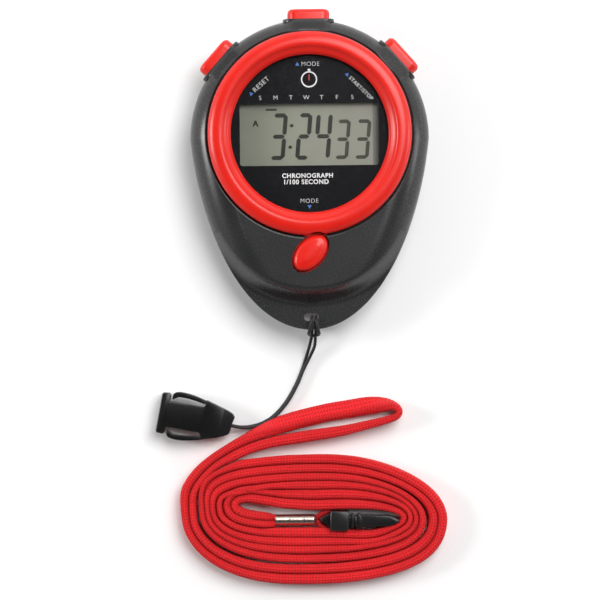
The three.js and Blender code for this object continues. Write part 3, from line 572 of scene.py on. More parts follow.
# Open space outside each turn of the pair, against turns.
TURN_GAPS = [(0, 0.02), (1.3, 0.05), (1.5, 0.45), (1.62, 0.12), (1.72, 0.25), (1.84, 0.5),
             (1.96, 0.6), (2.06, 0.35), (2.3, 0.1), (3, 0.1)]
LANYARD_SPACING = 0.2
ROUNDING, EASING = 15, 25      # points over which a route and a size are smoothed
CORD_WIDTH, CORD_GIRTH, CORD_FLOOR = 4.8, 7.0, 0.12
CORD_THICKNESS, CORNERS_CUT = 2.2, 0.92
CORD_SIDES, CORD_SQUARENESS = 24, 0.62
STITCH_RELIEF = 0.02
# A strand swells to its own thickness where its neighbour is farther off than FREE_ROOM, or
# where it is rolled by more than FREE_ROLL degrees; each fades in over the length beside it.
FREE_ROOM, ROOM_FADE = 2.5, 1.6
FREE_ROLL, ROLL_FADE = 4, 12
FILL = 1.02
HALF_LEAST, HALF_MOST = 0.6, 1.5
ROLLED, ROLLED_EXTRA = 10, 1.2
TALL_LEAST, TALL_MOST = 4.7, 5.3
# Slow waves along the cord: how strong, and how many millimetres they take for one radian.
THICK_WAVE, THICK_WAVE_MM = 0.02, 7.3
TALL_WAVE, TALL_WAVE_MM, TALL_WAVE_PHASE = 0.12, 9.7, 0.6
LEAN_WAVE, LEAN_WAVE_MM = 3, 11.9
# The search for the strand next to a point: how far ahead or behind it may lie, how far beside
# at least, and how far along the cord it has to be so that it is another strand.
AHEAD, BESIDE_LEAST, ANOTHER_STRAND, NO_STRAND = 0.7, 0.4, 8, 99.0


def eased(table, t):
    """A smooth curve through (t, value) pairs."""
    x, y = np.array(table, float).T
    i = np.clip(np.searchsorted(x, t) - 1, 0, len(x) - 2)
    h = np.diff(x)
    d = np.diff(y) / h
    m = np.concatenate([[d[0]], (d[:-1] + d[1:]) / 2, [d[-1]]])
    s = np.clip((t - x[i]) / h[i], 0, 1)
    return ((2 * s**3 - 3 * s**2 + 1) * y[i] + (s**3 - 2 * s**2 + s) * h[i] * m[i]
            + (-2 * s**3 + 3 * s**2) * y[i + 1] + (s**3 - s**2) * h[i] * m[i + 1])


def coil_middle(t):
    """The line between the two strands of the wound pair."""
    angle = np.pi - 2 * np.pi * t
    c, s = np.cos(angle), np.sin(angle)
    power = 2 / eased(CORNERS, t)
    x = CENTRE_X + eased(HALF_LENGTHS, t) * np.sign(c) * np.abs(c)**power
    y = CENTRE_Y + eased(HALF_HEIGHTS, t) * np.sign(s) * np.abs(s)**power
    x -= TOP_LEAN * t * np.maximum(s, 0)
    y -= END_TILT * c**3
    y -= PLUG_BULGE * np.exp(-((t - PLUG_BULGE_AT) / PLUG_BULGE_TURNS)**2)
    return np.stack([x, y], 1)


def strand(side):
    """One strand: x, y, thickness, roll and outer gap; side is 1 outside, -1 inside."""
    lead = smooth_line([(x, y, 0) for x, y in LEAD_LINE], 1.5)[:, :2]
    t = np.linspace(COIL_START, COIL_END, int((COIL_END - COIL_START) * STEPS_PER_TURN))
    centre = np.concatenate([lead, coil_middle(t)])
    run = distances(lead)
    widening = np.linspace(LEAD_PITCH, eased(PITCHES, t[:1])[0], len(lead))
    pitch = np.concatenate([CRIMP_PITCH + (widening - CRIMP_PITCH) * swell(run / TAPER),
                            eased(PITCHES, t)])
    gap_turn = t if side > 0 else t - 1
    gap = np.concatenate([np.zeros(len(lead)), eased(TURN_GAPS, np.maximum(gap_turn, 0))])
    tangent = unit(np.gradient(centre, axis=0))
    outward = np.stack([-tangent[:, 1], tangent[:, 0]], 1)
    line = centre + side * outward * pitch[:, None]
    return np.column_stack([line, 2 * pitch, np.zeros(len(line)), gap])


def lanyard_line():
    """Centre line with thickness, roll and gap of the lanyard, from the crimp back to it."""
    outer, inner = strand(1), strand(-1)
    ends = np.array([(*row, 0.0) for row in UPPER_ARM + LOWER_ARM])
    route = np.concatenate([outer, ends, inner[::-1]])
    flat = np.column_stack([route[:, :2], np.zeros(len(route)), route[:, 2:]])
    line = smooth_line(flat, LANYARD_SPACING)
    for k in (0, 1):
        line[:, k] = softened(line[:, k], ROUNDING)
    return line


def softened(values, window=EASING):
    """A running mean with soft ends; straight runs at both ends keep their length."""
    kernel = np.hanning(window + 2)[1:-1]
    kernel /= kernel.sum()
    reach = window // 2
    before = 2 * values[0] - values[reach:0:-1]
    after = 2 * values[-1] - values[-2:-reach - 2:-1]
    return np.convolve(np.concatenate([before, values, after]), kernel, "valid")


def side_room(line, run, left):
    """Distance from each point to the next strand on its left and on its right."""
    few = slice(None, None, 4)
    p, d, n = line[few, :2], run[few], left[few, :2]
    along = np.stack([n[:, 1], -n[:, 0]], 1)
    room = []
    for sign in (1, -1):
        best = np.full(len(p), NO_STRAND)
        for i in range(len(p)):
            offset = p - p[i]
            across = sign * (offset @ n[i])
            near = ((np.abs(offset @ along[i]) < AHEAD) & (across > BESIDE_LEAST)
                    & (np.abs(d - d[i]) > ANOTHER_STRAND))
            if near.any():
                best[i] = across[near].min()
        room.append(np.interp(run, d, best))
    return room


def lanyard():
    """The lanyard's mesh and its middle line: a flat tube on edge, pressed by its neighbours."""
    line = lanyard_line()
    run = distances(line[:, :2])
    tangent = unit(np.gradient(np.column_stack([line[:, :2], np.zeros(len(line))]), axis=0))
    left = np.cross([0, 0, 1.0], tangent)
    thick = softened(line[:, 3])
    roll = softened(line[:, 4])
    rooms = side_room(line, run, left)
    halves = []
    for room, gap in zip(rooms, (line[:, 5], np.zeros(len(line)))):
        free = np.maximum(swell((room - FREE_ROOM) / ROOM_FADE),
                          swell((roll - FREE_ROLL) / ROLL_FADE))
        fitted = (1 - free) * (FILL * room - gap) / 2 + free * thick / 2
        most = HALF_MOST * np.where(roll > ROLLED, ROLLED_EXTRA, 1)
        halves.append(softened(np.clip(fitted, HALF_LEAST, most)))
    shift = (halves[0] - halves[1]) / 2
    half = (halves[0] + halves[1]) / 2 * (1 + THICK_WAVE * np.sin(run / THICK_WAVE_MM))
    full = swell(np.minimum(run, run[-1] - run) / TAPER)
    tall = (np.clip(CORD_GIRTH - 2 * half, TALL_LEAST, TALL_MOST)
            + TALL_WAVE * np.sin(run / TALL_WAVE_MM + TALL_WAVE_PHASE))
    tall *= (1 + full) / 2
    lean = np.radians(roll + LEAN_WAVE * np.sin(run / LEAN_WAVE_MM))
    rise = np.hypot(tall / 2 * np.cos(lean), half * np.sin(lean))
    height = CRIMP_Z + (rise + CORD_FLOOR - CRIMP_Z) * full
    centre = np.column_stack([line[:, :2] + left[:, :2] * shift[:, None], height])
    across = left * np.cos(lean)[:, None] + np.array([0, 0, 1.0]) * np.sin(lean)[:, None]
    edge = np.array([0, 0, 1.0]) * np.cos(lean)[:, None] - left * np.sin(lean)[:, None]
    a = np.arange(CORD_SIDES) / CORD_SIDES * 2 * np.pi
    shape_x = np.sign(np.cos(a)) * np.abs(np.cos(a))**CORD_SQUARENESS
    shape_y = np.sign(np.sin(a)) * np.abs(np.sin(a))**CORD_SQUARENESS
    offset = (across[:, None, :] * (shape_x[None, :] * half[:, None])[:, :, None]
              + edge[:, None, :] * (shape_y[None, :] * tall[:, None] / 2)[:, :, None])
    stitch = np.sin(2 * np.pi * (run[:, None] / COURSE + np.arange(CORD_SIDES)[None, :] / 4))
    rings = centre[:, None, :] + offset * (1 + STITCH_RELIEF * stitch)[:, :, None]
    obj = rows_mesh("lanyard", list(rings))
    knit_coordinates(obj.data, run)
    return obj, centre


def knit_coordinates(mesh, run, sides=CORD_SIDES):
    """Millimetres along and round a tube whose rings have equally many points."""
    girth = 2 * (CORD_WIDTH + CORD_THICKNESS) * CORNERS_CUT
    uv = mesh.uv_layers.new(name="knit")
    vertex = np.zeros(len(mesh.loops), np.int32)
    mesh.loops.foreach_get("vertex_index", vertex)
    ring, spot = vertex // sides, (vertex % sides).astype(float)
    totals = np.zeros(len(mesh.polygons), np.int32)
    starts = np.zeros(len(mesh.polygons), np.int32)
    mesh.polygons.foreach_get("loop_total", totals)
    mesh.polygons.foreach_get("loop_start", starts)
    quads = starts[totals == 4]
    spots = np.stack([spot[quads + k] for k in range(4)], 1)
    wraps = spots.max(1) - spots.min(1) > sides / 2
    for k in range(4):
        spot[quads[wraps & (spots[:, k] < 1)] + k] += sides
    coords = np.stack([run[ring], spot / sides * girth], 1)
    uv.data.foreach_set("uv", coords.astype(np.float32).ravel())


lanyard_obj, lanyard_centre = lanyard()

# ------------------------------------------------------------------ strap
STRAP_RADIUS, STRAP_BRAID = 0.425, 0.12
YARN_PITCH = 1.6
STRAP_RUN = [
    (-21.5, -66.25, 2.3), (-18.9, -66.75, 1.8), (-16.4, -66.7, 0.8), (-13.6, -66.0, 0.5),
    (-10.4, -64.2, 0.5), (-6.9, -60.4, 0.5), (-4.1, -55.6, 0.5), (-2.5, -51.8, 0.5),
]
SECOND_STRAND = (0.3, -0.15, 0.9)
STRAP_HITCH = [
    (-1.3, -48.2, 1.3), (-0.6, -45.8, 2.7), (0.05, -43.0, 4.0), (0.1, -42.3, 3.7),
    (0.1, -40.9, 2.2), (0.1, -39.4, 1.0), (0.1, -38.5, 1.6), (0.1, -38.3, 4.0),
    (0.1, -38.3, 8.4), (0.0, -38.9, 10.1), (-0.3, -40.4, 10.3), (-0.65, -42.2, 9.4),
    (-0.75, -42.5, 7.4), (-0.35, -42.9, 5.9), (0.6, -43.05, 5.6),
]
HITCH_CENTRE = 0.6
HITCH_EXIT = [(1.0, -43.0, 4.0), (0.75, -45.8, 2.9), (-0.3, -48.2, 2.0)]


def strap_line():
    """Out of the buckle, through the eyelet in a cow hitch, and back beside itself."""
    mirrored = [(2 * HITCH_CENTRE - x, y, z) for x, y, z in STRAP_HITCH[-2::-1]][:-3]
    back = [tuple(c + d for c, d in zip(p, SECOND_STRAND)) for p in STRAP_RUN[::-1]]
    return smooth_line(STRAP_RUN + STRAP_HITCH + mirrored + HITCH_EXIT + back, 0.12)


def round_tube(name, line, radius, sides=24, braid=0.0):
    """A tube on a line, with an optional braid of crossed helical yarns."""
    tangent = unit(np.gradient(line, axis=0))
    normal = np.zeros_like(tangent)
    normal[0] = np.cross(tangent[0], [0.3, 0.1, 1.0])
    for i in range(1, len(line)):
        normal[i] = normal[i - 1] - tangent[i] * normal[i - 1].dot(tangent[i])
        normal[i] /= np.linalg.norm(normal[i])
    normal[0] = normal[1]
    second = np.cross(tangent, normal)
    a = np.arange(sides) / sides * 2 * np.pi
    turn = 2 * np.pi * distances(line)[:, None] / YARN_PITCH
    yarns = np.maximum(np.abs(np.sin(2 * a[None, :] + turn)),
                       np.abs(np.sin(2 * a[None, :] - turn)))
    size = radius * (1 - braid + braid * yarns)
    rings = line[:, None, :] + normal[:, None, :] * (size * np.cos(a))[:, :, None] \
        + second[:, None, :] * (size * np.sin(a))[:, :, None]
    return rows_mesh(name, list(rings))


strap_points = strap_line()
strap_obj = round_tube("strap", strap_points, STRAP_RADIUS, braid=STRAP_BRAID)

# ------------------------------------------------------------------ release buckle
# The hinges of the two arms lie across the socket, at this distance from its mouth.
HINGE_FROM_MOUTH = 9.3
HINGES = {joint["child"]: np.array(joint["pos_m"][:2]) / MM
          for joint in frame["record"]["behaviour"]["joints"] if joint["type"] == "hinge"}
ACROSS = HINGES["upper_arm"] - HINGES["lower_arm"]
SOCKET_ANGLE = math.degrees(math.atan2(ACROSS[1], ACROSS[0])) - 90
SOCKET_X, SOCKET_Y = (HINGES["upper_arm"] + HINGES["lower_arm"]) / 2 - HINGE_FROM_MOUTH * np.array(
    [math.cos(math.radians(SOCKET_ANGLE)), math.sin(math.radians(SOCKET_ANGLE))])
SOCKET_TOP = corners("buckle_socket")[1][2]
PLUG_LOW, PLUG_HIGH = corners("buckle_plug")
PLUG_WEDGE_LENGTH = 1.9        # the plug's own origin is where its wedge meets its block
PLUG_RISE = 0.35               # its middle line lies this far above the middle of its box
PLUG_X = PLUG_LOW[0] + PLUG_WEDGE_LENGTH
PLUG_Y = (PLUG_LOW[1] + PLUG_HIGH[1]) / 2 + PLUG_RISE
PLUG_ANGLE = -1.2


def placed(obj, x, y, angle):
    obj.data.transform(Matrix.Translation((x * MM, y * MM, 0))
                       @ Matrix.Rotation(math.radians(angle), 4, "Z"))
    return obj


def buckle_socket():
    outline = [(0, -4.8), (0.3, -5.2), (1.9, -5.3), (2.3, -4.9), (2.35, -3.3), (11.2, -3.3),
               (11.6, -3.8), (11.8, -5.1), (15.6, -3.95), (18.4, -2.75), (19.1, -2.0),
               (19.25, 0.4), (19.7, 2.2), (19.1, 3.0), (17.7, 3.6), (11.7, 5.35), (11.6, 3.8),
               (11.2, 3.35), (2.35, 3.35), (2.35, 5.0), (1.8, 5.5), (0.3, 5.35), (0, 5.0)]
    body = plate("socket_body", outline, 0.02, SOCKET_TOP)
    slope = [(16.3, 5.01), (20.5, 3.7), (20.5, 6.5), (16.3, 6.5)]
    verts = [(u, v, z) for v in (-6, 6) for u, z in slope]
    faces = [(3, 2, 1, 0), (4, 5, 6, 7)] + [(i, (i + 1) % 4, (i + 1) % 4 + 4, i + 4)
                                           for i in range(4)]
    bevelled(boolean(body, [build("tip_slope", verts, faces)]), 0.35, 3, 14)
    cutters = [box("mouth", -1, 9, -2.5, 2.5, 1.1, 3.9),
               box("cord_hole", 16, 21, -1.1, 1.1, 1.3, 3.9)]
    return placed(boolean(body, cutters), SOCKET_X, SOCKET_Y, SOCKET_ANGLE)


LEVER_FIXED, LEVER_FREE, LEVER_LOW = 10.6, 8.6, 2.3
LEVER = [(12.3, 4.2), (12.3, 4.9), (11.5, 5.25), (9.9, 5.65), (8.5, 5.95), (7.1, 6.15),
         (5.6, 6.25), (4.5, 6.2), (3.5, 5.95), (2.95, 5.5), (2.8, 4.9), (2.8, 4.1),
         (3.1, 3.95), (3.5, 4.3), (4.4, 4.85), (5.8, 4.9), (7.5, 4.8), (9.0, 4.6),
         (10.3, 4.35)]


def buckle_lever(name, side):
    """A squeeze arm that is moulded into the shoulder of the socket."""
    arm_plate = plate(name, [(u, side * v) for u, v in LEVER], LEVER_LOW, SOCKET_TOP - 0.35)
    obj = placed(bevelled(arm_plate, 0.3, 3, 50), SOCKET_X, SOCKET_Y, SOCKET_ANGLE)
    finished(obj, buckle_black, None, ["buckle_" + name])
    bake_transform(obj)
    return obj


def buckle_plug():
    def block(name, outline, z0, z1, soft):
        return bevelled(plate(name, outline, z0, z1), soft, 3)
    pieces = [
        block("plug_body", [(0, -2.6), (4.9, -2.6), (4.9, 2.6), (0, 2.6)], 0.05, 6.35, 0.5),
        block("wedge", [(-2.3, -0.2), (0.6, -2.1), (0.6, 2.1), (-2.3, 0.2)], 1.0, 4.6, 0.15),
        block("neck", [(4.5, -1.3), (7.2, -1.3), (7.2, 1.3), (4.5, 1.3)], 0.7, 5.2, 0.3),
        block("collar", [(5.5, -1.8), (6.2, -1.8), (6.2, 1.8), (5.5, 1.8)], 0.6, 5.6, 0.25),
        block("bump", oval(1.0, 1.95, count=32) + np.array([7.5, 0]), 0.5, 5.8, 0.35),
        block("blade", [(8.2, -1.4), (15.3, -1.25), (17.1, -0.75), (18.0, -0.2), (18.0, 0.4),
                        (17.1, 0.95), (15.3, 1.5), (8.2, 1.65)], 0.8, 5.7, 0.35),
    ]
    body = pieces[0]
    boolean(body, pieces[1:], "UNION")
    return placed(body, PLUG_X, PLUG_Y, PLUG_ANGLE)


socket_obj = finished(buckle_socket(), buckle_black, "case", ["buckle_socket"])
levers = [buckle_lever("lever_upper", 1), buckle_lever("lever_lower", -1)]
plug_obj = finished(buckle_plug(), buckle_black, "case", ["buckle_plug"])

# ------------------------------------------------------------------ crimp and end loop
CRIMP_LENGTH, CRIMP_WIDE, CRIMP_HIGH = 10.4, 1.5, 1.7


def crimp():
    """Rolled nickel sleeve with a seam, soft rims and two faint pinch marks."""
    along = np.concatenate([[-0.5, -0.498], np.linspace(-0.485, 0.485, 60), [0.498, 0.5]])
    a = np.arange(64) / 64 * 2 * np.pi
    rows = []
    for u in along:
        rim = 1 - 0.12 * max(0.0, (abs(u) - 0.48) / 0.02)**2
        dent = 1 - 0.02 * sum(math.exp(-((u - at) / 0.06)**2) for at in (-0.17, 0.19))
        seam = 1 - 0.10 * np.exp(-((a - 1.5 * np.pi) / 0.07)**2)
        y = CRIMP_Y + CRIMP_WIDE * rim * np.cos(a) * seam
        z = CRIMP_Z + CRIMP_HIGH * rim * dent * np.sin(a) * seam
        rows.append(np.stack([np.full(64, CRIMP_X + u * CRIMP_LENGTH), y, z], 1))
    return rows_mesh("crimp", rows)


crimp_obj = finished(crimp(), nickel, "case", ["lanyard_crimp"])
END_LOOP = [(0.6, -90.75, 2.6), (1.7, -90.0, 2.7), (2.9, -89.3, 2.8), (4.4, -88.6, 2.8)]
END_LOOP_2 = [(0.6, -91.5, 2.6), (1.7, -92.4, 2.7), (2.9, -93.3, 2.8), (4.4, -94.1, 2.8)]
end_parts = [round_tube("end_a", smooth_line(END_LOOP, 0.2), 0.8, 20),
             round_tube("end_b", smooth_line(END_LOOP_2, 0.2), 0.8, 20)]
end_loop_obj = finished(joined("end_loop", end_parts), red_knit, "case",
                        ["lanyard_end_loop"])

finished(lanyard_obj, red_knit, "case",
         ["lanyard_coil", "lanyard_lead", "lanyard_pair", "lanyard_loop"], sharp=80)
finished(strap_obj, black_braid, "case", ["strap_cord"], sharp=80)

# ------------------------------------------------------------------ casing
REAR_LOW, REAR_HIGH = corners("rear_shell")
FRONT_LOW, FRONT_HIGH = corners("front_shell")
CASE_RADIUS, CASE_BOTTOM_Y, CASE_TOP = REAR_HIGH[0], REAR_LOW[1], FRONT_HIGH[2]
CASE_CENTRE_Y = REAR_HIGH[1] - CASE_RADIUS
ROLL_HIGH, ROLL_WIDE, WALL = 7.3, 8.0, 1.8
TAPER_LINEAR, TAPER_SQUARE = 0.16, 0.075
SPLIT_Z, HALF_GAP = (FRONT_LOW[2] + REAR_HIGH[2]) / 2, (FRONT_LOW[2] - REAR_HIGH[2]) / 2
LENS_LOW_CORNER, LENS_HIGH_CORNER = corners("dial_lens")
DIAL_Y = (LENS_LOW_CORNER[1] + LENS_HIGH_CORNER[1]) / 2
SEAT_RADIUS, SEAT_Z = 26.55, 13.9
SEAT_ROLL = [(0.26, 0.07), (0.11, 0.2), (0.03, 0.38), (0, 0.6)]
SEAT_ROLL_START = 0.45
LENS_SEAT_RADIUS, LENS_SEAT_Z = 21.9, 12.4
DIAL_HOLE_RADIUS, UNDERSIDE_RADIUS, UNDERSIDE_Z = 20.8, 27.4, 11.4
FRONT_ROWS, FRONT_CROWDING, REAR_ROWS, REAR_CROWDING = 150, 1.9, 59, 2.2
INSIDE_ROWS, INSIDE_CROWDING, INSIDE_CLEARANCE = 30, 1.6, 0.1
UNDERSIDE_EASE, FOOT_CHAMFER = 0.2, 0.2
REAR_CENTRE_RADIUS, ROW_STEP = 3.0, 0.01
SCREW_BORES = [(1.3, 6, 32), (2.4, 1.75, 40)]    # radius, depth and facets of shank and head
EDGE_CHAMFER = 0.15
THROUGH_LOW, THROUGH_HIGH = -1, 20
LIP_ARC, LIP_ARC_Y, LIP_TOP = 30.0, -4.9, 9.35
HOOD_START, HOOD_TOP, HOOD_SLOPE, HOOD_HALF, HOOD_FLAT = 27.4, 13.65, 0.5, 7.4, 3.6
HOOD_TOP_AT, HOOD_FOOT, HOOD_SINK, HOOD_ROWS = 28.4, 8.6, 0.25, 41
STEP_ABOVE, STEP_BELOW, STEP_Y = 4.6, 0.6, -16
SOLID_BELOW = -33.6
SLOT_Y, SLOT_WIDE, SLOT_HIGH = -38.2, 3.8, 2.0
MODE_LOW, MODE_HIGH = corners("mode_button")
BUTTON_DROP, FLANGE_EXTRA, FLANGE_AT = 0.25, 1.7, 2.1
BUTTON_Z = (MODE_LOW[2] + MODE_HIGH[2]) / 2 - BUTTON_DROP
BUTTON_WIDE, BUTTON_HIGH = MODE_HIGH[0] - MODE_LOW[0] - FLANGE_EXTRA, 4.3
STEM_START, BUTTON_FACE = MODE_LOW[1] - CASE_CENTRE_Y, MODE_HIGH[1] - CASE_CENTRE_Y
COLLAR_FACE = CASE_RADIUS - 0.05
# How much wider and higher than a button's cap its flange, hole, recess and wings are.
FLANGE_MARGIN, HOLE_MARGIN, RECESS_MARGIN, WING_MARGIN = np.array(
    [(1.2, 0.35), (0.6, 0.4), (1.7, 0.8), (2.4, 0.9)])
RECESS_PLAY, WING_DEPTH, WING_SOFT = 0.25, 0.9, 0.3
RIM_CUT_START, RIM_CUT_END = 20, 40
# The rim buttons slide inwards, against the direction in which each stands on the rim.
RIM_ANGLES = {
    joint["child"].removesuffix("_key"): math.degrees(math.atan2(-joint["axis"][1],
                                                                 -joint["axis"][0]))
    for joint in frame["record"]["behaviour"]["joints"]
    if joint["type"] == "slide" and joint["axis"][2] == 0}
FRONT_X, FRONT_Y = middle("front_button")[:2]
FRONT_TOP = corners("front_button")[1][2]
FRONT_LONG, FRONT_SHORT, FRONT_TILT = 5.5, 3.45, 48
KEY_HOLE_MARGIN, KEY_WELL_MARGIN, KEY_WELL_LOW, KEY_WELL_TOP = 0.4, 1.6, 3, 14.2
KEY_HOLE_LOW, RING_NOTCH_MARGIN = 9, 0.75
CASE_SCREWS = [middle(f"case_screw_{i}")[:2] for i in range(1, 5)]


def case_outline(count):
    """Counter-clockwise plan outline at even spacing: round above, narrowing below."""
    a = np.linspace(0, 2 * np.pi, 4001)
    t = np.maximum(-np.sin(a), 0)
    width = CASE_RADIUS * np.cos(a) * (1 - TAPER_LINEAR * t + TAPER_SQUARE * t**2)
    y = np.where(np.sin(a) >= 0, CASE_CENTRE_Y + CASE_RADIUS * np.sin(a),
                 CASE_CENTRE_Y + (CASE_BOTTOM_Y - CASE_CENTRE_Y) * t)
    dense = np.stack([width, y], 1)
    run = distances(dense)
    even = np.arange(count) / count * run[-1]
    return np.stack([np.interp(even, run, dense[:, 0]), np.interp(even, run, dense[:, 1])], 1)


EDGE = case_outline(480)
EDGE_NEXT = np.roll(EDGE, -1, axis=0)


def edge_distance(points):
    """How far each point lies inside the outline."""
    span = EDGE_NEXT - EDGE
    size = (span**2).sum(1)
    out = []
    for chunk in np.array_split(points, max(1, len(points) // 2000)):
        offset = chunk[:, None, :] - EDGE[None, :, :]
        s = np.clip((offset * span[None]).sum(2) / size[None], 0, 1)
        gap = offset - s[:, :, None] * span[None]
        out.append(np.sqrt((gap**2).sum(2).min(1)))
    return np.concatenate(out)


def roll_profile(distance, wide, high):
    return high * np.sqrt(np.clip(1 - np.clip(1 - distance / wide, 0, 1)**2, 0, 1))


def front_height(points):
    """Front surface of the casing: rolled edge, near-flat face, and the step to the lip."""
    d = edge_distance(points)
    z = CASE_TOP - ROLL_HIGH + roll_profile(d, ROLL_WIDE, ROLL_HIGH)
    beyond = np.hypot(points[:, 0], points[:, 1] - LIP_ARC_Y) - LIP_ARC
    lowered = swell((beyond + STEP_ABOVE) / (STEP_ABOVE + STEP_BELOW))
    stepped = LIP_TOP + (z - LIP_TOP) * (1 - lowered)
    below = (points[:, 1] < STEP_Y) & (lowered > 0) & (z > LIP_TOP)
    return np.where(below, np.minimum(z, stepped), z), d


def with_z(points, z):
    return np.column_stack([points, np.broadcast_to(z, len(points))])


def inset_edge(amount):
    tangent = unit(EDGE_NEXT - np.roll(EDGE, 1, axis=0))
    return EDGE + amount * np.stack([-tangent[:, 1], tangent[:, 0]], 1)


def on_circle(radius, y=DIAL_Y):
    return np.array([0, y]) + radius * unit(EDGE - np.array([0, y]))


def rows_between(start, end, shares, height):
    """Rows part of the way from one ring of points to another, at the heights of a surface."""
    rings = [start * (1 - share) + end * share for share in shares]
    return [with_z(ring, height(ring)) for ring in rings]


def rolled_inside(distance):
    """Height of the inside above the foot of the roll, one wall inside the outer surface."""
    return roll_profile(distance - WALL, ROLL_WIDE - WALL, ROLL_HIGH - WALL)


def front_button_outline(margin=0.0):
    return oval(FRONT_LONG + margin, FRONT_SHORT + margin, FRONT_TILT) + (FRONT_X, FRONT_Y)


def eyelet_slot():
    return plate("slot", pill(SLOT_WIDE, SLOT_HIGH) + (0, SLOT_Y), THROUGH_LOW, THROUGH_HIGH)


def front_shell():
    """Outer skin from the split up to the ring's seat, down its steps, and back inside."""
    bottom = SPLIT_Z + HALF_GAP
    lowest = bottom + INSIDE_CLEARANCE

    def inside(points):
        outer, d = front_height(points)
        z = np.minimum(CASE_TOP - ROLL_HIGH + rolled_inside(d), outer - WALL)
        return np.where(points[:, 1] < SOLID_BELOW, lowest, np.maximum(z, lowest))

    steps = np.arange(1, FRONT_ROWS + 1) / FRONT_ROWS
    rows = [with_z(inset_edge(EDGE_CHAMFER), bottom), with_z(EDGE, bottom + FOOT_CHAMFER),
            with_z(EDGE, CASE_TOP - ROLL_HIGH)]
    rows += rows_between(EDGE, on_circle(SEAT_RADIUS + SEAT_ROLL_START),
                         steps**FRONT_CROWDING, lambda ring: front_height(ring)[0])
    top = rows[-1][:, 2]
    rows += [with_z(on_circle(SEAT_RADIUS + out), top - drop) for out, drop in SEAT_ROLL]
    rows += [with_z(on_circle(radius), z) for radius, z in (
        (SEAT_RADIUS, SEAT_Z), (LENS_SEAT_RADIUS, SEAT_Z), (LENS_SEAT_RADIUS, LENS_SEAT_Z),
        (DIAL_HOLE_RADIUS, LENS_SEAT_Z), (DIAL_HOLE_RADIUS, UNDERSIDE_Z),
        (UNDERSIDE_RADIUS, UNDERSIDE_Z))]
    steps = np.arange(INSIDE_ROWS) / (INSIDE_ROWS - 1)
    rows += rows_between(on_circle(UNDERSIDE_RADIUS + UNDERSIDE_EASE), inset_edge(WALL),
                         1 - (1 - steps)**INSIDE_CROWDING, inside)
    rows.append(with_z(inset_edge(WALL), bottom))
    shell = rows_mesh("casing_front", rows, closed=True)
    cap = np.array([BUTTON_WIDE, BUTTON_HIGH])
    for a in RIM_ANGLES.values():
        boolean(shell, [rim_hood(a), rim_pad("wing", a, *(cap + WING_MARGIN),
                                             COLLAR_FACE - WING_DEPTH, COLLAR_FACE, WING_SOFT)],
                "UNION")
    tools = []
    for a in RIM_ANGLES.values():
        tools.append(rim_pad("hole", a, *(cap + HOLE_MARGIN), RIM_CUT_START, RIM_CUT_END, 0))
        tools.append(rim_pad("recess", a, *(cap + RECESS_MARGIN), RIM_CUT_START,
                             STEM_START + FLANGE_AT + RECESS_PLAY, 0))
    tools += [
        plate("key_hole", front_button_outline(KEY_HOLE_MARGIN), KEY_HOLE_LOW, THROUGH_HIGH),
        plate("key_well", front_button_outline(KEY_WELL_MARGIN), KEY_WELL_LOW, KEY_WELL_TOP),
        eyelet_slot()]
    return boolean(shell, tools)


def rim_place(points, angle, start):
    """Points as along the rim, up, and outwards from the start radius."""
    a = math.radians(angle)
    out = np.array([math.cos(a), math.sin(a), 0])
    up = np.array([0, 0, 1.0])
    along = np.cross(up, out)
    origin = np.array([start * out[0], CASE_CENTRE_Y + start * out[1], BUTTON_Z])
    return origin + points @ np.stack([along, up, out])


def rim_pad(name, angle, width, height, start, end, soft):
    """A pill-shaped block standing out along the rim, with a rounded outer edge."""
    rows = [with_z(pill(width, height), 0)]
    for inset, rise in quarter_turn(6) if soft else [(0, 0)]:
        rows.append(with_z(pill(width - 2 * soft * inset, height - 2 * soft * inset),
                           end - start + soft * (rise - 1)))
    return rows_mesh(name, [rim_place(r, angle, start) for r in rows])


def rim_hood(angle):
    """The casing drawn out over a rim button, blended into the rolled edge on both sides."""
    rows = []
    for along in np.linspace(-HOOD_HALF, HOOD_HALF, HOOD_ROWS):
        bell = 1 - swell((abs(along) - HOOD_FLAT) / (HOOD_HALF - HOOD_FLAT))
        end = min(COLLAR_FACE - 0.15, math.sqrt((CASE_RADIUS - 0.12)**2 - along**2))
        reach = np.array([HOOD_START, HOOD_START, HOOD_TOP_AT, 28.9, 29.4, 29.9, end - 0.5,
                          end - 0.2, end - 0.05, end, end])
        round_off = np.array([0, 0, 0, 0, 0, 0, 0.03, 0.12, 0.3, 0.6, 0])
        edge = np.clip(CASE_RADIUS - np.hypot(reach, along), 0, None)
        roll = CASE_TOP - ROLL_HIGH + roll_profile(edge, ROLL_WIDE, ROLL_HIGH) - HOOD_SINK
        top = HOOD_TOP - HOOD_SLOPE * (reach - HOOD_TOP_AT)
        z = np.where(top > roll, roll + (top - roll) * bell, roll) - round_off
        z = np.maximum(z, HOOD_FOOT + 0.02 * np.arange(len(z))[::-1])
        z[0] = z[-1] = HOOD_FOOT
        block = np.column_stack([np.full(len(reach), along), z - BUTTON_Z, reach - HOOD_START])
        rows.append(rim_place(block, angle, HOOD_START))
    return rows_mesh("hood", rows)


def rear_notch():
    """The thinned underside below the eyelet, open towards the tip."""
    outline = [(-9.5, -46), (9.5, -46), (6.0, -37.2), (4.4, -36.0), (2.6, -35.6), (-2.6, -35.6),
               (-4.4, -36.0), (-6.0, -37.2)]
    return bevelled(plate("notch", outline, -2, 5.9), 0.5, 3)


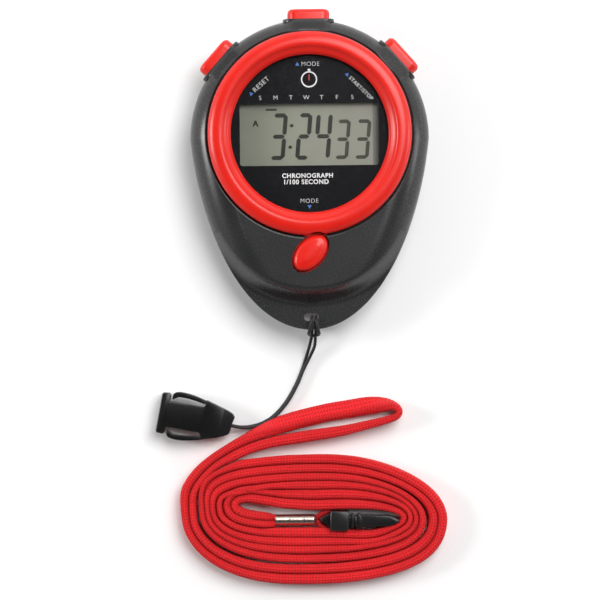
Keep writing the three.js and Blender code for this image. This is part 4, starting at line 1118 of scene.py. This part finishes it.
def rear_shell():
    """Inner skin from the middle out to the split, then the outer skin back to the middle."""
    top = SPLIT_Z - HALF_GAP
    highest = top - INSIDE_CLEARANCE

    def outside(points):
        z = ROLL_HIGH - roll_profile(edge_distance(points), ROLL_WIDE, ROLL_HIGH)
        return np.minimum(z, top - EDGE_CHAMFER - ROW_STEP)

    def inside(points):
        z = np.minimum(ROLL_HIGH - rolled_inside(edge_distance(points)), highest)
        return np.where(points[:, 1] < SOLID_BELOW, highest, z)

    centre = on_circle(REAR_CENTRE_RADIUS, CASE_CENTRE_Y)
    steps = np.arange(INSIDE_ROWS) / (INSIDE_ROWS - 1)
    rows = rows_between(inset_edge(WALL), centre, steps**INSIDE_CROWDING, inside)[::-1]
    rows += [with_z(inset_edge(WALL), top), with_z(inset_edge(EDGE_CHAMFER), top),
             with_z(EDGE, top - EDGE_CHAMFER)]
    steps = np.arange(1, REAR_ROWS + 1) / REAR_ROWS
    rows += rows_between(EDGE, centre, steps**REAR_CROWDING, outside)
    shell = rows_mesh("casing_rear", rows)
    tools = [eyelet_slot(), rear_notch()]
    for x, y in CASE_SCREWS:
        for radius, depth, facets in SCREW_BORES:
            tools.append(turned("bore", [(radius, THROUGH_LOW), (radius, depth)], x, y, facets,
                                closed=False))
    return boolean(shell, tools)


finished(front_shell(), graphite, "case", ["front_shell"], sharp=50)
finished(rear_shell(), graphite, "case", ["rear_shell"], sharp=32)

# ------------------------------------------------------------------ ring, lens and dial
RING_PROFILE = [
    (25.9, 14.25), (25.9, 15.62), (26.1, 15.75), (26.22, 15.9), (26.2, 16.15), (26.0, 16.5),
    (25.65, 16.85), (25.15, 17.2), (24.6, 17.42), (23.9, 17.57), (23.2, 17.6), (22.8, 17.55),
    (22.5, 17.4), (22.3, 17.15), (22.1, 16.9), (21.7, 16.6), (21.4, 16.38), (21.2, 16.3),
    (21.05, 16.2), (20.75, 15.85), (20.45, 15.5), (20.32, 15.3), (20.3, 15.0),
    (22.45, 15.0), (22.45, 14.25),
]
LENS_RADIUS = LENS_HIGH_CORNER[0]
LENS_LOW, LENS_HIGH = LENS_LOW_CORNER[2], LENS_HIGH_CORNER[2]
PRINT_Z = corners("dial_plate")[1][2]
PRINT_LOW, PRINT_HIGH = PRINT_Z + 0.005, PRINT_Z + 0.05
WINDOW_X, WINDOW_Y = middle("lcd_glass")[:2]
WINDOW_WIDE, WINDOW_HIGH = 35.8, 16.0


def bezel():
    ring = turned("bezel", RING_PROFILE, 0, DIAL_Y, 256)
    notch = plate("notch", front_button_outline(RING_NOTCH_MARGIN), THROUGH_LOW, THROUGH_HIGH)
    return boolean(ring, [notch])


finished(bezel(), red_gloss, "case", ["bezel_ring"], sharp=30)
lens_profile = [(0.01, LENS_LOW), (LENS_RADIUS, LENS_LOW), (LENS_RADIUS, LENS_HIGH - 0.35),
                (LENS_RADIUS - 0.1, LENS_HIGH - 0.12), (LENS_RADIUS - 0.35, LENS_HIGH - 0.02)]
lens_profile += [(LENS_RADIUS * (1 - i / 24), LENS_HIGH + 0.12 * (1 - (1 - i / 24)**2))
                 for i in range(1, 24)] + [(0.01, LENS_HIGH + 0.12)]
finished(turned("lens", lens_profile, 0, DIAL_Y, 160, closed=False), acrylic, "case",
         ["dial_lens"])
dial = turned("dial_face", [(0.01, 12.7), (LENS_RADIUS, 12.7), (LENS_RADIUS, PRINT_Z),
                            (0.01, PRINT_Z)], 0, DIAL_Y, 160, closed=False)
opening = rounded_rectangle(WINDOW_WIDE, WINDOW_HIGH, 0.7) + (WINDOW_X, WINDOW_Y)
finished(boolean(dial, [plate("opening", opening, 5, 20)]), dial_black, "case",
         ["dial_plate"])


# ------------------------------------------------------------------ dial print
def text(string, x, y, width=None, height=None, angle=0, bold=0.006):
    """Plain lettering as thin mesh, centred on a point."""
    curve = bpy.data.curves.new("text", "FONT")
    curve.body = string
    curve.offset = bold
    curve.extrude = 0.01
    curve.space_character = 1.12
    obj = bpy.data.objects.new("text", curve)
    scene.collection.objects.link(obj)
    graph = bpy.context.evaluated_depsgraph_get()
    mesh = bpy.data.meshes.new_from_object(obj.evaluated_get(graph))
    bpy.data.objects.remove(obj)
    co = np.zeros(len(mesh.vertices) * 3)
    mesh.vertices.foreach_get("co", co)
    co = co.reshape(-1, 3)
    low, high = co.min(0), co.max(0)
    scale = width / (high[0] - low[0]) if width else height / (high[1] - low[1])
    flat = (co[:, :2] - (low[:2] + high[:2]) / 2) * scale
    c, s = math.cos(math.radians(angle)), math.sin(math.radians(angle))
    turned_xy = np.stack([flat[:, 0] * c - flat[:, 1] * s, flat[:, 0] * s + flat[:, 1] * c], 1)
    z = np.where(co[:, 2] > 0, PRINT_HIGH, PRINT_LOW)
    faces = [tuple(p.vertices) for p in mesh.polygons]
    return build("text", np.column_stack([turned_xy + (x, y + DIAL_Y), z]), faces, False)


def mark(outline, x, y):
    return plate("mark", np.asarray(outline, float) + (x, y + DIAL_Y), PRINT_LOW, PRINT_HIGH)


def triangle(size, angle):
    a = np.radians(angle + np.array([90, 210, 330]))
    return size * np.stack([np.cos(a), np.sin(a)], 1)


WEEKDAY_X, WEEKDAY_STEP, WEEKDAY_Y = -12.65, 3.96, 9.35
labels = [text(day, WEEKDAY_X + WEEKDAY_STEP * i, WEEKDAY_Y, height=1.05, bold=-0.012)
          for i, day in enumerate("SMTWTFS")]
labels += [
    text("MODE", 0.4, 18.0, width=4.6, bold=-0.018),
    text("RESET", -12.4, 12.9, width=5.0, angle=41.7, bold=-0.006),
    text("START/STOP", 13.4, 11.6, width=8.1, angle=-45),
    text("CHRONOGRAPH", -0.65, -10.8, width=13.1, bold=0.03),
    text("1/100 SECOND", -0.95, -12.4, width=11.5, bold=0.03),
    text("MODE", -0.2, -17.3, width=4.6, bold=-0.018),
]
finished(joined("dial_lettering", labels), print_white, "case", sharp=30)
arrows = [mark(triangle(0.62, 0), -3.0, 17.85), mark(triangle(0.62, 45), -14.95, 10.4),
          mark(triangle(0.62, -45), 9.8, 15.1), mark(triangle(0.62, 180), -0.2, -18.75)]
finished(joined("dial_arrows", arrows), print_blue, "case", sharp=30)

# A small plain stopwatch pictogram: a ring, a crown and one hand.
PICTOGRAM_Y = 14.0
ring_mark = turned("ring_mark", [(1.75, PRINT_LOW), (2.1, PRINT_LOW), (2.1, PRINT_HIGH),
                                 (1.75, PRINT_HIGH)], 0, DIAL_Y + PICTOGRAM_Y, 48)
crown_mark = mark([(-0.35, -0.25), (0.35, -0.25), (0.35, 0.25), (-0.35, 0.25)], 0,
                  PICTOGRAM_Y + 2.45)
finished(joined("dial_pictogram", [ring_mark, crown_mark]), print_white, "case")
hand_mark = mark([(-0.12, -0.3), (0.12, -0.3), (0.12, 1.3), (-0.12, 1.3)], 0, PICTOGRAM_Y)
finished(hand_mark, print_red, "case")

# ------------------------------------------------------------------ display
LCD_Z = corners("lcd_glass")[1][2] + 0.02
SLANT = math.tan(math.radians(5))
FIGURE_THICKNESS = 0.04
SEGMENT_GAP, LYING_INSET, STANDING_INSET = 0.10, 0.6, 0.5
FOOT, HEAD, BAR = 2.47, 14.51, 1.08
SMALL_FOOT, SMALL_HEAD, SMALL_BAR = 2.55, 12.76, 0.95
SEGMENTS = {"2": "abged", "3": "abgcd", "4": "fgbc"}


def figure(name, outline):
    return plate(name, outline, LCD_Z, LCD_Z + FIGURE_THICKNESS)


def digit(char, x0, x1, y0, y1, bar):
    """One slanted seven-segment figure; x0 to x1 is its width at the foot."""
    mid, half = (y0 + y1) / 2, bar / 2
    runs = {
        "a": ("h", y1 - half), "g": ("h", mid), "d": ("h", y0 + half),
        "f": ("v", x0 + half, mid, y1), "b": ("v", x1 - half, mid, y1),
        "e": ("v", x0 + half, y0, mid), "c": ("v", x1 - half, y0, mid),
    }
    out = []
    for name in SEGMENTS[char]:
        kind, *at = runs[name]
        if kind == "h":
            y = at[0]
            inset = SEGMENT_GAP + half * LYING_INSET
            left, right = x0 + inset, x1 - inset
            shape = [(left, y), (left + half, y - half), (right - half, y - half), (right, y),
                     (right - half, y + half), (left + half, y + half)]
        else:
            x, low, top = at
            inset = SEGMENT_GAP + half * STANDING_INSET
            low, top = low + inset, top - inset
            shape = [(x, low), (x + half, low + half), (x + half, top - half), (x, top),
                     (x - half, top - half), (x - half, low + half)]
        shape = [(x + (y - y0) * SLANT, y) for x, y in shape]
        out.append(figure("segment", shape))
    return out


big = []
for char, left, right in (("3", -10.5, -6.55), ("2", -3.84, -0.2), ("4", 0.89, 5.07)):
    big += digit(char, left, right, FOOT, HEAD, BAR)
for x, y in ((-4.62, 11.3), (-5.05, 5.75)):
    big.append(figure("dot", pill(1.0, 0.85, 16) + (x, y)))
big.append(figure("bar", pill(2.95, 0.5, 16) + (-9.85, 15.45)))
letter = [(-14.75, 11.15), (-14.35, 11.15), (-14.15, 11.6), (-13.75, 11.6), (-13.55, 11.15),
          (-13.15, 11.15), (-13.72, 12.7), (-14.18, 12.7)]
big.append(figure("alarm_mark", letter))
finished(joined("display_figures", big), segment_ink, "case", sharp=30)
# The small figures at the right take the lighter copy of the segment ink, which is painted light.
small = []
for left, right in ((6.24, 9.85), (11.35, 15.15)):
    small += digit("3", left, right, SMALL_FOOT, SMALL_HEAD, SMALL_BAR)
finished(joined("display_hundredths", small), segment_ink_painted_light, "case", sharp=30)


# ------------------------------------------------------------------ buttons
STEM, FLANGE_LOW, FLANGE_HIGH = (4.4, 2.2), 1.3, 2.2
CAP_SOFT, CAP_CROWN, CAP_INSET_STEP, CAP_STEPS = 1.15, 0.12, 0.28, 4


def rim_button(name, angle):
    """Cap with soft corners on a neck, a retaining flange and the stem behind it."""
    cap = np.array([BUTTON_WIDE, BUTTON_HIGH])
    flange = cap + FLANGE_MARGIN
    rows = [(STEM, 0), (STEM, FLANGE_LOW), (flange, FLANGE_LOW), (flange, FLANGE_HIGH),
            (cap, FLANGE_HIGH)]
    depth = BUTTON_FACE - STEM_START - CAP_CROWN
    rows += [(cap - 2 * CAP_SOFT * inset, depth + CAP_SOFT * (rise - 1))
             for inset, rise in quarter_turn(8)]
    rows += [(cap - 2 * (CAP_SOFT + CAP_INSET_STEP * i),
              depth + CAP_CROWN * (1 - (1 - i / CAP_STEPS)**2)) for i in range(1, CAP_STEPS + 1)]
    return rows_mesh(name, [rim_place(with_z(pill(*size), z), angle, STEM_START)
                            for size, z in rows])


for key, angle in RIM_ANGLES.items():
    finished(rim_button(key + "_cap", angle), red_gloss, key + "_key",
             [key + "_button"], sharp=40)


KEY_FLANGE, KEY_FLANGE_LOW, KEY_FLANGE_HIGH, KEY_WALL_TOP = 1.1, 12.2, 13.9, 14.9
KEY_SOFT, KEY_CROWN, KEY_INSET_STEP, KEY_STEPS = 1.5, 0.35, 0.25, 7


def front_button():
    """Oval cap with a rolled edge and a slight crown, on a flange inside the casing."""
    rows = [(KEY_FLANGE, KEY_FLANGE_LOW), (KEY_FLANGE, KEY_FLANGE_HIGH), (0, KEY_FLANGE_HIGH),
            (0, KEY_WALL_TOP)]
    height = FRONT_TOP - KEY_WALL_TOP - KEY_CROWN
    rows += [(-KEY_SOFT * inset, KEY_WALL_TOP + height * rise)
             for inset, rise in quarter_turn(10)[1:]]
    rows += [(-KEY_SOFT - KEY_INSET_STEP * i,
              KEY_WALL_TOP + height + KEY_CROWN * (1 - (1 - i / KEY_STEPS)**2))
             for i in range(1, KEY_STEPS + 1)]
    return rows_mesh("front_cap", [with_z(front_button_outline(grow), z) for grow, z in rows])


finished(front_button(), red_gloss, "front_key", ["front_button"], sharp=40)

# ------------------------------------------------------------------ carried-over CAD nodes
FINISHES = {
    rubber: ["case_seal", "zebra_strip_upper", "zebra_strip_lower", "front_key_dome"],
    lcd_grey_painted_shade: ["lcd_glass"],
    white_plastic: ["lcd_frame"],
    board_green: ["main_board"],
    resin: ["chip_blob"],
    tan_ceramic: ["capacitor_1", "capacitor_2"],
    steel: ["lcd_reflector", "crystal_can", "buzzer_spring", "battery_cell",
            "battery_clip_plus", "battery_clip_minus"]
           + [f"{kind}_screw_{i}" for kind in ("case", "board") for i in range(1, 5)],
    brass: ["buzzer_disc", "start_contact", "mode_contact", "reset_contact"],
}
for material, names in FINISHES.items():
    for name in names:
        node = frame["nodes"][name]
        node.data.materials.clear()
        node.data.materials.append(material)

# ------------------------------------------------------------------ floor and light
FLOOR_CLOUDS = 1000 / 12
FLOOR_REACH, FLOOR_Z = 3000, -0.05
floor_mat, floor_tree, floor_shader = principled("white_floor")
link(floor_tree, ramp(floor_tree, noise(floor_tree, FLOOR_CLOUDS, 2),
                      [(FAC_LOW, 0.86), (FAC_HIGH, 0.88)]),
     floor_shader.inputs["Base Color"])
adjust(floor_shader, Roughness=0.7)
floor = build("floor", [(x * FLOOR_REACH, y * FLOOR_REACH, FLOOR_Z)
                        for x, y in ((-1, -1), (1, -1), (1, 1), (-1, 1))], [(0, 1, 2, 3)])
floor.data.materials.append(floor_mat)


def area_light(name, location, target, size, power):
    data = bpy.data.lights.new(name, "AREA")
    data.energy = power
    data.size = size
    lamp = bpy.data.objects.new(name, data)
    lamp.location = location
    lamp.rotation_euler = (Vector(target) - Vector(location)).to_track_quat("-Z", "Y").to_euler()
    scene.collection.objects.link(lamp)


area_light("key", (0.30, 0.32, 0.75), (0, -0.03, 0), 0.6, 7.8)
area_light("left_panel", (-0.62, 0.04, 0.30), (0, 0, 0), 0.2, 2.4)
area_light("right_panel", (0.60, 0.0, 0.20), (0, 0, 0), 0.16, 0.5)

world = bpy.data.worlds.new("studio")
world.use_nodes = True
scene.world = world
sky = world.node_tree
background = sky.nodes["Background"]
direction = sky.nodes.new("ShaderNodeSeparateXYZ")
link(sky, coordinates(sky, "Generated"), direction.inputs["Vector"])
link(sky, ramp(sky, direction.outputs["Z"], [(0.0, 1.0), (0.3, 0.95), (0.6, 0.35), (0.85, 0.06),
                                             (1.0, 0.03)]),
     background.inputs["Color"])
facing = math_node(sky, "MULTIPLY", direction.outputs["Y"], 0.55)
link(sky, math_node(sky, "ADD", facing, 0.9), background.inputs["Strength"])
